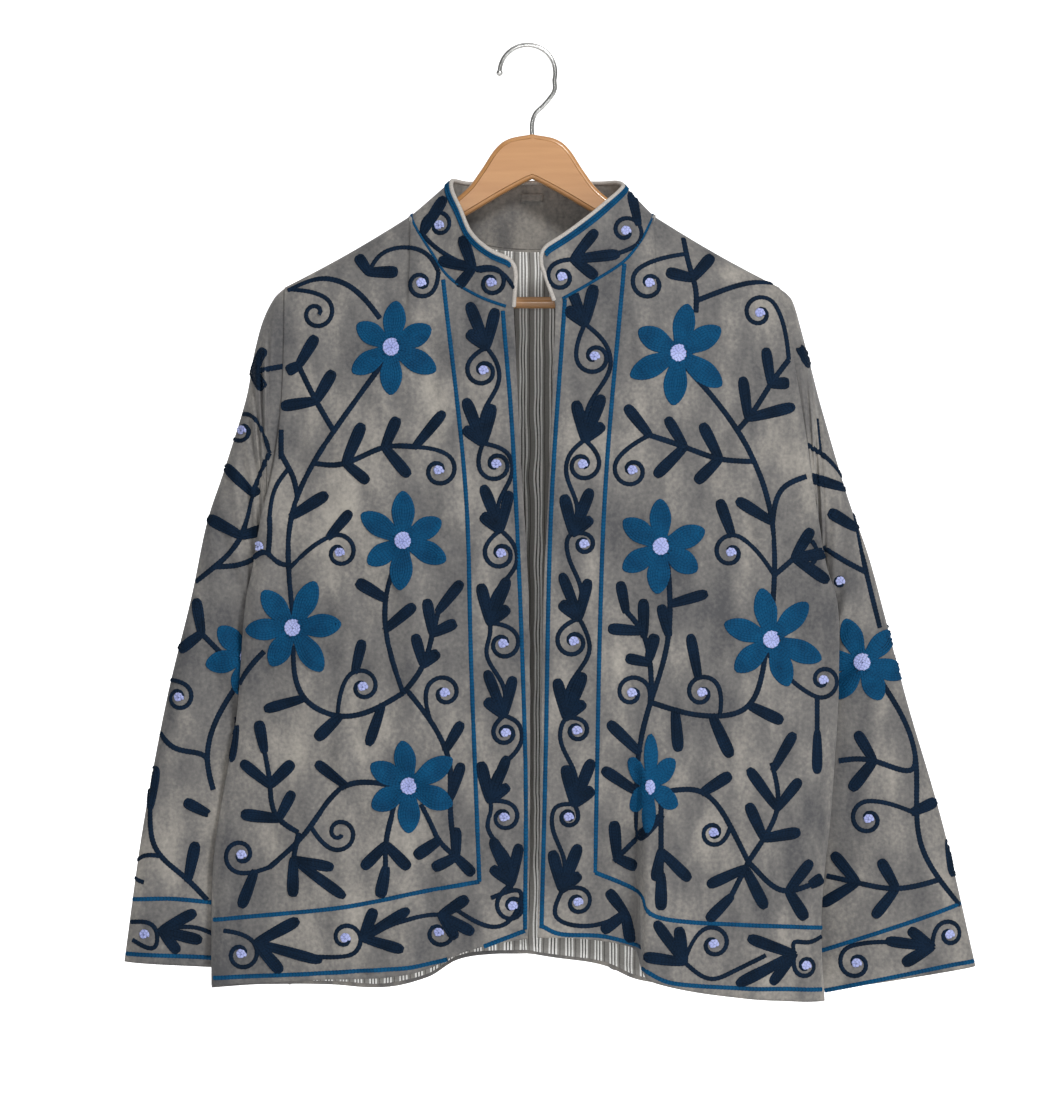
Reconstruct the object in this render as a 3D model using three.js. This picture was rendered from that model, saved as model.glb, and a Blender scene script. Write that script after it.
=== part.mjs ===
// An open-front velvet jacket with a stand collar, hanging on a wooden hanger with a trouser bar.
// Millimetres, +Z up, -Y to the front. The origin is the inside of the hook's crown, where a rail
// carries it. "down" is a distance below the origin, and "side" is -1 on the left, +1 on the right.
import * as THREE from "three";

// Driving dimensions
const CLOTH = 1.8; // velvet, lining and stitching together
const LINING = 1.0; // striped cotton of the back
const SEAM = 0.3; // between pieces
const ARMHOLE_SEAM = 0.75; // as SEAM, along X, where both edges are curved and faceted
const COLLAR_SEAM = 0.75; // as SEAM, up the collar, across a neck seam that runs at a slant
const STEM_X = 4; // the garment's centre line, to the right of the hook's crown

const NECK_POINT = { x: 104, down: 145 }; // where the neck meets the shoulder seam
const SHOULDER_TIP = { x: 213, down: 207 };
const SHOULDER_SAG = 2;
const UNDERARM = { left: 440, right: 425 }; // down to the end of the armhole
const ARMHOLE_DEPTH = 28; // half of the armhole's opening, front to back
const SPREAD = 255; // below the neck, over this length, the columns of a panel become evenly spread
const ROW_POWER = 1.7; // rows of a panel lie closer together towards its top

const SHOULDER_SHARE = 0.5; // share of a panel's top edge that is neck seam
const SHOULDER_N = 0.48; // share of the half neck seam that is behind the shoulder seam

const HANGER = { thickness: 12, bevel: 4, barRadius: 5, barDown: 220, barEnd: 184 };
const HOOK = { wire: 2, radius: 24 };
const LOOP = { width: 19, height: 7, thickness: 1.2, down: 128 };

const COLOURS = {
  velvet: "#7d766f",
  stripe: "#9b968f",
  wood: "#c89868",
  steel: "#b9bcc0",
};

// A table of rows with named columns.
const table = (columns, ...rows) =>
  rows.map((row) => Object.fromEntries(columns.split(" ").map((name, i) => [name, row[i]])));

// Half width of the body, at the front's side edge.
const BODY = table(
  "down left right",
  [207, 213, 213],
  [250, 213, 221],
  [304, 214, 228],
  [390, 221, 234],
  [440, 227, 246],
  [476, 233, 259],
  [511, 244, 262],
  [580, 255, 263],
  [666, 270, 257],
  [709, 275, 252],
  [760, 276, 249],
  [821, 276, 252],
);

// Depth of the body from its middle plane, at the centre line.
const DEPTH = table(
  "down front back",
  [145, 30, 31],
  [224, 38, 33],
  [440, 40, 34],
  [600, 38, 32],
  [821, 35, 30],
);

// Distance of the front edges from the centre line.
const FRONT_EDGE = table("down left right", [223, 16, 20], [347, 10, 15.5], [476, 3, 9.5], [648, 2, 7], [790, 4, 4]);

// The hem, by distance from the centre line.
const HEM = table(
  "x leftFront rightFront leftBack rightBack",
  [0, 764, 764, 783, 783],
  [35, 770, 765, 784, 788],
  [65, 779, 769, 789, 794],
  [90, 792, 775, 797, 805],
  [130, 799, 786, 804, 811],
  [180, 801, 794, 806, 815],
  [230, 804, 798, 808, 819],
  [280, 808, 798, 810, 821],
);

// The neck seam, from the centre of the back (n = 0) to the front edge (n = 1).
const NECK = table(
  "n left right y leftDown rightDown",
  [0, 0, 0, 31, 172, 172],
  [0.1, 25, 25, 30.5, 170.5, 170.5],
  [0.2, 48, 48, 28, 166, 166],
  [0.3, 70, 70, 22, 158.5, 158.5],
  [0.4, 90, 90, 12, 150.5, 150.5],
  [0.48, 104, 104, 0, 145, 145],
  [0.56, 101, 102, -13, 156, 153],
  [0.66, 88, 93, -24, 177, 170],
  [0.76, 72, 78, -31, 200, 188],
  [0.88, 46, 50, -36, 217, 206],
  [1, 16, 20, -39, 228, 223],
);

// The collar's free edge, above the same places of the neck seam.
const COLLAR_TOP = table(
  "n left leftY leftDown right rightY rightDown",
  [0, 0, 27, 121, 0, 27, 121],
  [0.1, 23, 26, 120.5, 24, 26, 120.5],
  [0.2, 42, 22, 118.5, 44, 22, 118.5],
  [0.3, 57, 14, 116, 61, 14, 116],
  [0.4, 67, 4, 114.5, 74, 4, 116],
  [0.48, 70, -6, 116, 79, -6, 119],
  [0.56, 69, -15, 125, 75, -15, 125],
  [0.66, 62, -26, 141, 64, -25, 135],
  [0.76, 53, -38, 162, 50, -33, 147],
  [0.88, 36, -48, 178, 29, -39, 163],
  [1, 13, -50, 188, 4, -42, 179],
);
const COLLAR_CORNER = 12; // radius of the front corners

// Rings of a sleeve from armhole to cuff: the outer and the inner point of each, and half its depth.
// The inner point lies behind the back, as the sleeves hang a little behind the body.
const SLEEVES = {
  left: table(
    "t out outDown outY in inDown inY half",
    [0, 213, 207, 0, 227, 440, 2, 20],
    [1, 222, 216, 1, 231, 448, 8, 24],
    [2, 232, 236, 2, 233, 459, 18, 26],
    [3, 240, 266, 4, 231, 473, 26, 26],
    [4, 247, 304, 6, 227, 493, 34, 25],
    [5, 266, 365, 9, 220, 524, 40, 24],
    [6, 281, 410, 12, 212, 556, 44, 23],
    [7, 295, 476, 15, 198, 595, 46, 23],
    [8, 316, 562, 18, 187, 650, 49, 24],
    [9, 337, 674, 20, 183, 722, 50, 25],
    [10, 353, 789, 21, 185, 798, 50, 26],
  ),
  right: table(
    "t out outDown outY in inDown inY half",
    [0, 213, 207, 0, 242, 425, 2, 20],
    [1, 224, 218, 1, 251, 436, 8, 24],
    [2, 233, 248, 2, 256, 450, 18, 26],
    [3, 241, 278, 4, 257, 466, 26, 26],
    [4, 250, 312, 6, 254, 488, 34, 25],
    [5, 272, 386, 9, 248, 522, 40, 24],
    [6, 290, 436, 12, 243, 556, 44, 23],
    [7, 305, 490, 15, 226, 604, 46, 23],
    [8, 325, 566, 18, 212, 664, 49, 24],
    [9, 356, 672, 20, 205, 744, 50, 25],
    [10, 384, 793, 21, 205, 822, 50, 26],
  ),
};

// The sharp fold of the right front, where the cloth towards the front edge lies further in.
const FOLD = { x: 93, from: 560, full: 760, ridge: 9, ridgeWidth: 45, inset: 22, insetWidth: 55, hem: 23 };

// Soft folds: a ridge (or, with a minus, a trough) that runs down a panel.
const FOLDS = table(
  "side face x lean from to lift width",
  [-1, -1, 80, 0.05, 690, 930, -7, 13],
  [-1, -1, 108, -0.1, 430, 610, 4, 16],
  [1, -1, 190, 0.02, 480, 950, 5, 22],
  [1, -1, 150, 0, 300, 520, -3, 25],
  [-1, 1, 60, 0, 420, 1060, 7, 26],
  [-1, 1, 140, 0.05, 350, 1100, 6, 22],
  [1, 1, 20, 0, 500, 1120, -6, 18],
  [1, 1, 130, -0.03, 380, 1050, 7, 24],
);

const sideName = (side) => (side < 0 ? "left" : "right");
const { lerp, clamp, smoothstep } = THREE.MathUtils;

// The value of a column on a smooth curve through a table's rows, which rise by another column.
function smooth(rows, by, column, at) {
  const last = rows.length - 1;
  let i = 0;
  while (i < last - 1 && rows[i + 1][by] < at) i += 1;
  const slope = (k) => {
    const [low, high] = [rows[Math.max(k - 1, 0)], rows[Math.min(k + 1, last)]];
    return (high[column] - low[column]) / (high[by] - low[by]);
  };
  const width = rows[i + 1][by] - rows[i][by];
  const u = clamp((at - rows[i][by]) / width, 0, 1);
  const [a, b] = [rows[i][column], rows[i + 1][column]];
  const bend = lerp(slope(i) * width - (b - a), b - a - slope(i + 1) * width, u);
  return lerp(a, b, u) + u * (1 - u) * bend;
}

function neckPoint(side, n) {
  const name = sideName(side);
  return {
    x: smooth(NECK, "n", name, n),
    y: smooth(NECK, "n", "y", n),
    down: smooth(NECK, "n", `${name}Down`, n),
  };
}

// The top edge of a panel: its neck seam, then its shoulder seam, as s goes from 0 to 1.
function topEdge(side, face, s) {
  if (s <= SHOULDER_SHARE) {
    const share = s / SHOULDER_SHARE;
    return neckPoint(side, face < 0 ? lerp(1, SHOULDER_N, share) : lerp(0, SHOULDER_N, share));
  }
  const f = (s - SHOULDER_SHARE) / (1 - SHOULDER_SHARE);
  const down = lerp(NECK_POINT.down, SHOULDER_TIP.down, f) + SHOULDER_SAG * Math.sin(Math.PI * f);
  return { x: lerp(NECK_POINT.x, SHOULDER_TIP.x, f), y: 0, down };
}

// How far the armhole stands open at a height, front to back, from the middle plane.
function armholeDepth(side, down) {
  const p = (down - SHOULDER_TIP.down) / (UNDERARM[sideName(side)] - SHOULDER_TIP.down);
  return ARMHOLE_DEPTH * Math.sqrt(clamp(1 - p, 0, 1));
}

// The cloth turns over the hanger's arm, and its depth then grows down to the chest.
function shoulderRound(distance) {
  const turn = Math.pow(clamp(distance / 170, 0, 1), 0.45);
  return 1 - Math.pow(1 - turn, 1.6);
}

// Outward lift of the folds at a place on a panel.
function foldLift(side, face, x, down) {
  let lift = 0;
  for (const fold of FOLDS) {
    if (fold.side !== side || fold.face !== face) continue;
    const along = clamp((down - fold.from) / (fold.to - fold.from), 0, 1);
    const across = (x - fold.x - fold.lean * (down - fold.from)) / fold.width;
    lift += fold.lift * Math.sin(Math.PI * along) * Math.exp(-across * across);
  }
  if (side > 0 && face < 0) {
    const reach = smoothstep(down, FOLD.from, FOLD.full);
    const across = x - FOLD.x;
    const outside = foldSide(across);
    lift += reach * outside * FOLD.ridge * Math.exp(-((across / FOLD.ridgeWidth) ** 2));
    lift -= reach * (1 - outside) * FOLD.inset * Math.exp(-((across / FOLD.insetWidth) ** 2));
  }
  return lift;
}

// 0 on the inner side of the sharp fold, 1 on its outer side.
const foldSide = (across) => 1 / (1 + Math.exp(-across / 1.5));

function hemDown(side, face, x) {
  const column = sideName(side) + (face < 0 ? "Front" : "Back");
  const step = side > 0 && face < 0 ? FOLD.hem * foldSide(x - FOLD.x) : 0;
  return smooth(HEM, "x", column, x) + step;
}

// A point on the outside of the body. s goes from the centre (0) to the side (1), v from top to hem.
function bodyPoint(side, face, s, v) {
  const name = sideName(side);
  const top = topEdge(side, face, s);
  const edgeAt = (down) => (face < 0 ? smooth(FRONT_EDGE, "down", name, down) : 0);
  const across = (down, share) => lerp(edgeAt(down), smooth(BODY, "down", name, down), share);
  const hem = hemDown(side, face, across(BODY.at(-1).down, s));
  const down = lerp(top.down, hem, Math.pow(v, ROW_POWER));
  const topShare = (top.x - edgeAt(0)) / (SHOULDER_TIP.x - edgeAt(0));
  const x = across(down, lerp(topShare, s, smoothstep(down - top.down, 0, SPREAD)));
  const opening = armholeDepth(side, down);
  const crown = smooth(DEPTH, "down", face < 0 ? "front" : "back", down);
  const section = opening + (crown - opening) * Math.pow(1 - s * s, 0.75);
  const start = Math.abs(top.y);
  const round = shoulderRound(down - top.down);
  const depth = start + (section - start) * round + foldLift(side, face, x, down) * round;
  return new THREE.Vector3(side * x, face * (SEAM / 2 + depth), -down);
}

// A point on the outside of a sleeve. t runs over the rings and turn goes once round, from the
// outer point by the front to the inner point and back.
function sleevePoint(side, t, turn) {
  const name = sideName(side);
  const at = (column) => smooth(SLEEVES[name], "t", column, t);
  const share = (1 - Math.cos(turn)) / 2;
  const ring = {
    x: lerp(at("out"), at("in"), share),
    y: lerp(at("outY"), at("inY"), share) - at("half") * Math.sin(turn),
    down: lerp(at("outDown"), at("inDown"), share),
  };
  const seamDown = lerp(SHOULDER_TIP.down, UNDERARM[name], share);
  const depth = armholeDepth(side, seamDown) * shoulderRound(seamDown - SHOULDER_TIP.down);
  const seam = {
    x: smooth(BODY, "down", name, seamDown) + ARMHOLE_SEAM,
    y: -Math.sign(Math.sin(turn)) * (SEAM / 2 + depth),
    down: seamDown,
  };
  const away = smoothstep(t, 0, 1);
  const mix = (key) => lerp(seam[key], ring[key], away);
  return new THREE.Vector3(side * mix("x"), mix("y"), -mix("down"));
}

// A point on the outside of the collar. n is signed by the side, h goes from the seam to the top.
function collarPoint(n, h) {
  const side = n < 0 ? -1 : 1;
  const name = sideName(side);
  const seam = neckPoint(side, Math.abs(n));
  const top = (column) => smooth(COLLAR_TOP, "n", column, Math.abs(n));
  const low = new THREE.Vector3(side * seam.x, seam.y, -seam.down);
  const high = new THREE.Vector3(side * top(name), top(`${name}Y`), -top(`${name}Down`));
  const height = low.distanceTo(high);
  const halfSeam = 240;
  const fromEnd = clamp(((1 - Math.abs(n)) * halfSeam) / COLLAR_CORNER, 0, 1);
  const corner = COLLAR_CORNER * (1 - Math.sqrt(1 - (1 - fromEnd) ** 2));
  const rise = lerp(COLLAR_SEAM, height - corner, h) / height;
  return low.lerp(high, rise);
}

// Values from 0 to 1, ends included.
const steps = (count) => Array.from({ length: count + 1 }, (_, i) => i / count);

// Normals of a grid of points, by its neighbours along the row and down the columns.
function gridNormals(grid, sign, wrap) {
  const [rows, columns] = [grid.length, grid[0].length];
  const column = (j) => (wrap ? (j + columns) % columns : clamp(j, 0, columns - 1));
  return grid.map((row, i) =>
    row.map((_, j) => {
      const across = row[column(j + 1)].clone().sub(row[column(j - 1)]);
      const along = grid[Math.min(i + 1, rows - 1)][j].clone().sub(grid[Math.max(i - 1, 0)][j]);
      return across.cross(along).multiplyScalar(sign).normalize();
    }),
  );
}

// A closed wall under a grid of outside points. "wrap" joins the last column to the first, "inset"
// moves the whole wall inwards, and "flat" may name a normal's component to drop at a seam.
function wall(grid, thickness, { sign = 1, wrap = false, inset = 0, flat = () => "" } = {}) {
  const [rows, columns] = [grid.length, grid[0].length];
  const normals = gridNormals(grid, sign, wrap);
  const [positions, index] = [[], []];
  const layer = (depth) =>
    grid.forEach((row, i) =>
      row.forEach((point, j) => {
        const normal = normals[i][j];
        const drop = flat(i / (rows - 1), j / (columns - 1));
        if (drop) normal.setComponent("xyz".indexOf(drop), 0).normalize();
        positions.push(...point.clone().addScaledVector(normal, -depth).toArray());
      }),
    );
  layer(inset);
  layer(inset + thickness);
  const outside = (i, j) => i * columns + (j % columns);
  const inside = (i, j) => rows * columns + outside(i, j);
  const face = (a, b, c) => index.push(...(sign > 0 ? [a, b, c] : [a, c, b]));
  const quad = (a, b, c, d) => {
    face(a, b, c);
    face(a, c, d);
  };
  const spans = wrap ? columns : columns - 1;
  for (let j = 0; j < spans; j += 1) {
    for (let i = 0; i < rows - 1; i += 1) {
      quad(outside(i, j), outside(i, j + 1), outside(i + 1, j + 1), outside(i + 1, j));
      quad(inside(i, j), inside(i + 1, j), inside(i + 1, j + 1), inside(i, j + 1));
    }
    quad(outside(0, j + 1), outside(0, j), inside(0, j), inside(0, j + 1));
    const end = rows - 1;
    quad(outside(end, j), outside(end, j + 1), inside(end, j + 1), inside(end, j));
  }
  if (!wrap) {
    for (let i = 0; i < rows - 1; i += 1) {
      const end = columns - 1;
      quad(outside(i, 0), outside(i + 1, 0), inside(i + 1, 0), inside(i, 0));
      quad(outside(i + 1, end), outside(i, end), inside(i, end), inside(i + 1, end));
    }
  }
  const geometry = new THREE.BufferGeometry();
  geometry.setAttribute("position", new THREE.Float32BufferAttribute(positions, 3));
  geometry.setIndex(index);
  geometry.computeVertexNormals();
  return geometry;
}

// At the shoulder and side seams a panel's wall keeps to its own side of the middle plane.
const atMiddlePlane = (s, v) => (v === 0 && s >= SHOULDER_SHARE) || s === 1;

function frontPanel(side) {
  const grid = steps(19).map((v) => steps(17).map((s) => bodyPoint(side, -1, s, v)));
  return wall(grid, CLOTH, { sign: -side, flat: (v, s) => (atMiddlePlane(s, v) ? "y" : "") });
}

// The back and its lining share one grid, from the left side to the right.
const BACK_ROWS = 19;
const BACK_COLUMNS = 30;
const backGrid = steps(BACK_ROWS).map((v) =>
  steps(BACK_COLUMNS).map((u) => bodyPoint(u < 0.5 ? -1 : 1, 1, Math.abs(2 * u - 1), v)),
);

function backPanel() {
  const flat = (v, u) => (atMiddlePlane(Math.abs(2 * u - 1), v) ? "y" : "");
  return wall(backGrid, CLOTH, { flat });
}

// The lining ends short of the seams, and its turn-up ends above the back's hem.
function backLining() {
  const [margin, turnUp] = [2, 0.22];
  const inner = backGrid.map((row) => row.slice(margin, -margin)).slice(margin);
  const hem = inner.at(-1).map((point, j) => point.clone().lerp(inner.at(-2)[j], turnUp));
  return wall([...inner.slice(0, -1), hem], LINING, { inset: CLOTH + SEAM });
}

function sleeve(side) {
  const [rings, sides] = [18, 20];
  const grid = steps(rings).map((f) =>
    steps(sides)
      .slice(0, -1)
      .map((turn) => sleevePoint(side, 10 * Math.pow(f, 1.15), 2 * Math.PI * turn)),
  );
  return wall(grid, CLOTH, { sign: side, wrap: true, flat: (t) => (t === 0 ? "x" : "") });
}

function collar() {
  const grid = steps(4).map((h) => steps(46).map((u) => collarPoint(lerp(-1, 1, u), 1 - h)));
  return wall(grid, CLOTH);
}

// Outline of the hanger's board, right half, from the crown's top to the notch under it.
function boardOutline() {
  const upper = [
    [0, 75],
    [20, 79],
    [32, 88],
    [44, 106],
    [57, 123],
    [76, 137],
    [104, 150.4],
    [158, 182.4],
    [198, 205.4],
    [205, 214],
    [205, 223],
    [198, 230],
  ];
  const lug = [
    [HANGER.barEnd, 230],
    [HANGER.barEnd, 213],
  ];
  const lower = [
    [166, 206],
    [140, 194],
    [100, 170],
    [56, 146],
    [30, 127],
    [14, 116],
    [0, 113.5],
  ];
  return [...upper, ...lug, ...lower].map(([x, down]) => new THREE.Vector2(x, -down));
}

function hangerBoard() {
  const right = boardOutline();
  const left = right
    .slice(1, -1)
    .reverse()
    .map((p) => new THREE.Vector2(-p.x, p.y));
  const geometry = new THREE.ExtrudeGeometry(new THREE.Shape([...right, ...left]), {
    depth: HANGER.thickness - 2 * HANGER.bevel,
    bevelThickness: HANGER.bevel,
    bevelSize: HANGER.bevel,
    bevelOffset: -HANGER.bevel,
    bevelSegments: 2,
  });
  geometry.translate(0, 0, HANGER.bevel - HANGER.thickness / 2);
  return geometry.rotateX(Math.PI / 2);
}

function trouserBar() {
  const length = 2 * (HANGER.barEnd - SEAM);
  const geometry = new THREE.CylinderGeometry(HANGER.barRadius, HANGER.barRadius, length, 16);
  return geometry.rotateZ(Math.PI / 2).translate(0, 0, -HANGER.barDown);
}

// The hook's centre line: an arc about the rail, then an S-bend into the stem.
function hookLine() {
  const centreDown = HOOK.radius - HOOK.wire;
  const arc = steps(10).map((f) => {
    const angle = Math.PI * lerp(1, -0.08, f);
    return new THREE.Vector3(HOOK.radius * Math.cos(angle), 0, HOOK.radius * Math.sin(angle) - centreDown);
  });
  const stem = [
    [23, 38],
    [15, 49],
    [7, 57],
    [STEM_X, 66],
    [STEM_X, 75 - SEAM],
  ];
  return new THREE.CatmullRomCurve3([...arc, ...stem.map(([x, down]) => new THREE.Vector3(x, 0, -down))]);
}

function hook() {
  const section = new THREE.Shape().absarc(0, 0, HOOK.wire, 0, 2 * Math.PI);
  return new THREE.ExtrudeGeometry(section, { steps: 34, curveSegments: 4, extrudePath: hookLine() });
}

// The loop lies on the inside of the collar, at the centre of the back.
function neckLoop() {
  const geometry = new THREE.BoxGeometry(LOOP.width, LOOP.thickness, LOOP.height);
  const collarInside = collarPoint(0, 1).y - CLOTH;
  return geometry.translate(0, collarInside - SEAM - LOOP.thickness / 2, -LOOP.down);
}

function piece(name, geometry, color, roughness = 0.9, metalness = 0) {
  const mesh = new THREE.Mesh(geometry, new THREE.MeshStandardMaterial({ color, roughness, metalness }));
  mesh.name = name;
  return mesh;
}

const garment = new THREE.Group();
garment.position.x = STEM_X;
garment.add(
  piece("back", backPanel(), COLOURS.velvet),
  piece("left_front", frontPanel(-1), COLOURS.velvet),
  piece("right_front", frontPanel(1), COLOURS.velvet),
  piece("left_sleeve", sleeve(-1), COLOURS.velvet),
  piece("right_sleeve", sleeve(1), COLOURS.velvet),
  piece("collar", collar(), COLOURS.velvet),
  piece("back_lining", backLining(), COLOURS.stripe),
  piece("neck_loop", neckLoop(), COLOURS.velvet),
  piece("hanger_arms", hangerBoard(), COLOURS.wood, 0.4),
  piece("trouser_bar", trouserBar(), COLOURS.wood, 0.4),
);

const group = new THREE.Group();
group.add(garment, piece("hanger_hook", hook(), COLOURS.steel, 0.25, 1));

export default group;
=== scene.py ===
"""An embroidered velvet jacket on a wooden hanger, over a pale floor and a pale wall.

Lengths are millimetres in the garment's own frame until a mesh is made: x across from the centre
line, y towards the back and z up from the inside of the hook's crown. "down" is a distance below
it. side is -1 on the left and +1 on the right, and face is -1 in front and +1 behind.
"""

import math

import bpy
import numpy as np
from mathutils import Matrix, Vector
from mathutils.bvhtree import BVHTree

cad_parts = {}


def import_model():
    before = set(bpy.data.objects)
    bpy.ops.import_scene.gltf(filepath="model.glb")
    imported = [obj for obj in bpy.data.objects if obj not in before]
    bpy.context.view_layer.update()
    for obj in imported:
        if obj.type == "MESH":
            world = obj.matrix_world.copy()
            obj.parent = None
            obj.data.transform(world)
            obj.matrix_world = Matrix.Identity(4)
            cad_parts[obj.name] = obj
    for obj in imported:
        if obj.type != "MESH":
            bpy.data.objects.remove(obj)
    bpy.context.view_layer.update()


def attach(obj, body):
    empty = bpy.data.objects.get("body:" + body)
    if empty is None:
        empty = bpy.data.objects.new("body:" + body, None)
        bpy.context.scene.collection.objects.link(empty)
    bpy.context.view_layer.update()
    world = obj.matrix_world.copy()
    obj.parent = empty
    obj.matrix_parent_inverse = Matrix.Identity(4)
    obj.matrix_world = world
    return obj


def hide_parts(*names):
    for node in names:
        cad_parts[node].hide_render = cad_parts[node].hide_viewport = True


# Sizes of the garment, as in the CAD part
CLOTH = 1.8
LINING = 1.0
SEAM = 0.3
ARMHOLE_SEAM = -1.2  # the sleeve is tucked a little under the body
ARMHOLE_TUCK = 1.0
ARMHOLE_RINGS = 2.5  # over which a sleeve takes its own depth
COLLAR_SEAM = -0.6  # the collar is sewn a little over the neck edge
STEM_X = 4.0  # the garment's centre line, to the right of the hook's crown
NECK_POINT = (104.0, 145.0)  # x and down, where the neck meets the shoulder seam
SHOULDER_TIP = (213.0, 207.0)
SHOULDER_SAG = 2.0
UNDERARM = {"left": 440.0, "right": 425.0}
ARMHOLE_DEPTH = 28.0
SPREAD = 255.0
ROW_POWER = 1.7
SHOULDER_SHARE = 0.5
SHOULDER_N = 0.48
HALF_NECK_SEAM = 240.0
COLLAR_CORNER = 12.0

BOARD_THICKNESS = 12.0
BOARD_BEVEL = 4.0
BAR_RADIUS = 5.0
BAR_DOWN = 220.0
BAR_END = 184.0
HOOK_WIRE = 2.0
HOOK_RADIUS = 24.0
LOOP = {"width": 19.0, "height": 7.0, "thickness": 1.2, "down": 128.0}

RUFFLE = 1.0  # height of the small wrinkles
WAVES = 14  # sine waves in them

STITCH = 3.0  # length of a chain stitch
STRIPE_PITCH = 13.0  # of the lining's groups of lines
STRIPE_STARTS = (
    (0, "grey"),
    (0.16, "white"),
    (0.28, "dark"),
    (0.36, "white"),
    (0.48, "dark"),
    (0.56, "white"),
    (0.68, "grey"),
    (0.82, "dark"),
    (0.87, "grey"),
)

# Camera and stage, in metres
CAMERA_AT = (-0.0012, -4.0, -0.433)
LENS = 152
WALL_Y = 7.0
FLOOR_Z = -1.75
STAGE_HALF = 12.0


def lerp(a, b, t):
    return a + (b - a) * t


def smoothstep(t):
    t = np.clip(t, 0, 1)
    return t * t * (3 - 2 * t)


class Table:
    """Rows of numbers with named columns, read as smooth curves over the first column."""

    def __init__(self, columns, *rows):
        self.values = dict(zip(columns.split(), np.array(rows, float).T))
        self.by = self.values[columns.split()[0]]

    def __call__(self, column, at):
        x, y = self.by, self.values[column]
        last = len(x) - 1
        k = np.arange(last + 1)
        low, high = np.maximum(k - 1, 0), np.minimum(k + 1, last)
        slope = (y[high] - y[low]) / (x[high] - x[low])
        i = np.clip(np.searchsorted(x, at, side="left") - 1, 0, last - 1)
        width = x[i + 1] - x[i]
        u = np.clip((at - x[i]) / width, 0, 1)
        a, b = y[i], y[i + 1]
        bend = lerp(slope[i] * width - (b - a), b - a - slope[i + 1] * width, u)
        return lerp(a, b, u) + u * (1 - u) * bend


# Half width of the body, at the front's side edge
BODY = Table(
    "down left right",
    (207, 213, 213),
    (250, 213, 221),
    (304, 215, 230),
    (342, 219, 236),
    (370, 224, 240),
    (401, 232, 245),
    (445, 240, 253),
    (480, 247, 263),
    (549, 252, 264),
    (580, 255, 263),
    (666, 270, 257),
    (709, 275, 252),
    (760, 276, 249),
    (821, 276, 252),
)

# Depth of the body from its middle plane, at the centre line
DEPTH = Table(
    "down front back",
    (145, 30, 31),
    (224, 38, 33),
    (440, 40, 34),
    (600, 38, 32),
    (821, 35, 30),
)

# Distance of the front edges from the centre line
FRONT_EDGE = Table(
    "down left right",
    (223, 16, 20),
    (347, 10, 15.5),
    (476, 3, 9.5),
    (648, 2, 7),
    (790, 4, 4),
)

# Height of the hem, by distance from the centre line
HEM = Table(
    "x leftFront rightFront leftBack rightBack",
    (0, 764, 764, 783, 783),
    (35, 770, 765, 784, 788),
    (65, 779, 769, 789, 794),
    (90, 792, 775, 803, 805),
    (130, 799, 786, 812, 811),
    (180, 801, 794, 809, 815),
    (230, 804, 798, 808, 819),
    (280, 808, 798, 810, 821),
)

# The neck seam, from the centre of the back (n = 0) to the front edge (n = 1)
NECK = Table(
    "n left right y leftDown rightDown",
    (0, 0, 0, 31, 172, 172),
    (0.1, 25, 25, 30.5, 170.5, 170.5),
    (0.2, 48, 48, 28, 166, 166),
    (0.3, 70, 70, 22, 158.5, 158.5),
    (0.4, 90, 90, 12, 150.5, 150.5),
    (0.48, 104, 104, 0, 145, 145),
    (0.56, 101, 102, -13, 156, 153),
    (0.66, 88, 93, -24, 177, 170),
    (0.76, 72, 78, -31, 200, 188),
    (0.88, 46, 50, -36, 217, 206),
    (1, 16, 20, -39, 228, 223),
)

# The collar's free edge, above the same places of the neck seam
COLLAR_TOP = Table(
    "n left leftY leftDown right rightY rightDown",
    (0, 0, 27, 114.5, 0, 27, 114.5),
    (0.1, 23, 26, 115, 24, 26, 115),
    (0.2, 42, 22, 115.5, 44, 22, 115.5),
    (0.3, 57, 14, 116, 61, 14, 116),
    (0.4, 67, 4, 114.5, 74, 4, 116),
    (0.48, 70, -6, 116, 79, -6, 119),
    (0.56, 69, -15, 125, 75, -15, 125),
    (0.66, 62, -26, 141, 64, -25, 135),
    (0.76, 53, -38, 162, 50, -33, 147),
    (0.88, 36, -48, 178, 29, -39, 163),
    (1, 13, -50, 188, 4, -42, 179),
)

# Rings of a sleeve from armhole to cuff: outer point, inner point and half the depth
SLEEVES = {
    "left": Table(
        "t out outDown outY in inDown inY half",
        (0, 213, 207, 0, 227, 440, 2, 20),
        (1, 222, 216, 1, 228, 448, 6, 24),
        (2, 232, 236, 2, 228, 459, 15, 26),
        (3, 240, 266, 4, 227, 473, 24, 26),
        (4, 247, 304, 6, 227, 493, 34, 25),
        (5, 266, 365, 9, 220, 524, 40, 24),
        (6, 281, 410, 12, 212, 556, 44, 23),
        (7, 295, 476, 15, 198, 595, 46, 23),
        (8, 316, 562, 18, 187, 650, 49, 24),
        (9, 337, 674, 20, 183, 722, 50, 25),
        (10, 353, 789, 21, 185, 798, 50, 26),
    ),
    "right": Table(
        "t out outDown outY in inDown inY half",
        (0, 213, 207, 0, 242, 425, 2, 20),
        (1, 224, 218, 1, 245, 436, 6, 24),
        (2, 233, 248, 2, 247, 450, 15, 26),
        (3, 241, 278, 4, 249, 466, 24, 26),
        (4, 250, 312, 6, 254, 488, 34, 25),
        (5, 272, 386, 9, 248, 522, 40, 24),
        (6, 290, 436, 12, 243, 556, 44, 23),
        (7, 305, 490, 15, 226, 604, 46, 23),
        (8, 325, 566, 18, 212, 664, 49, 24),
        (9, 356, 672, 20, 205, 744, 50, 25),
        (10, 384, 793, 21, 205, 822, 50, 26),
    ),
}

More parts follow.
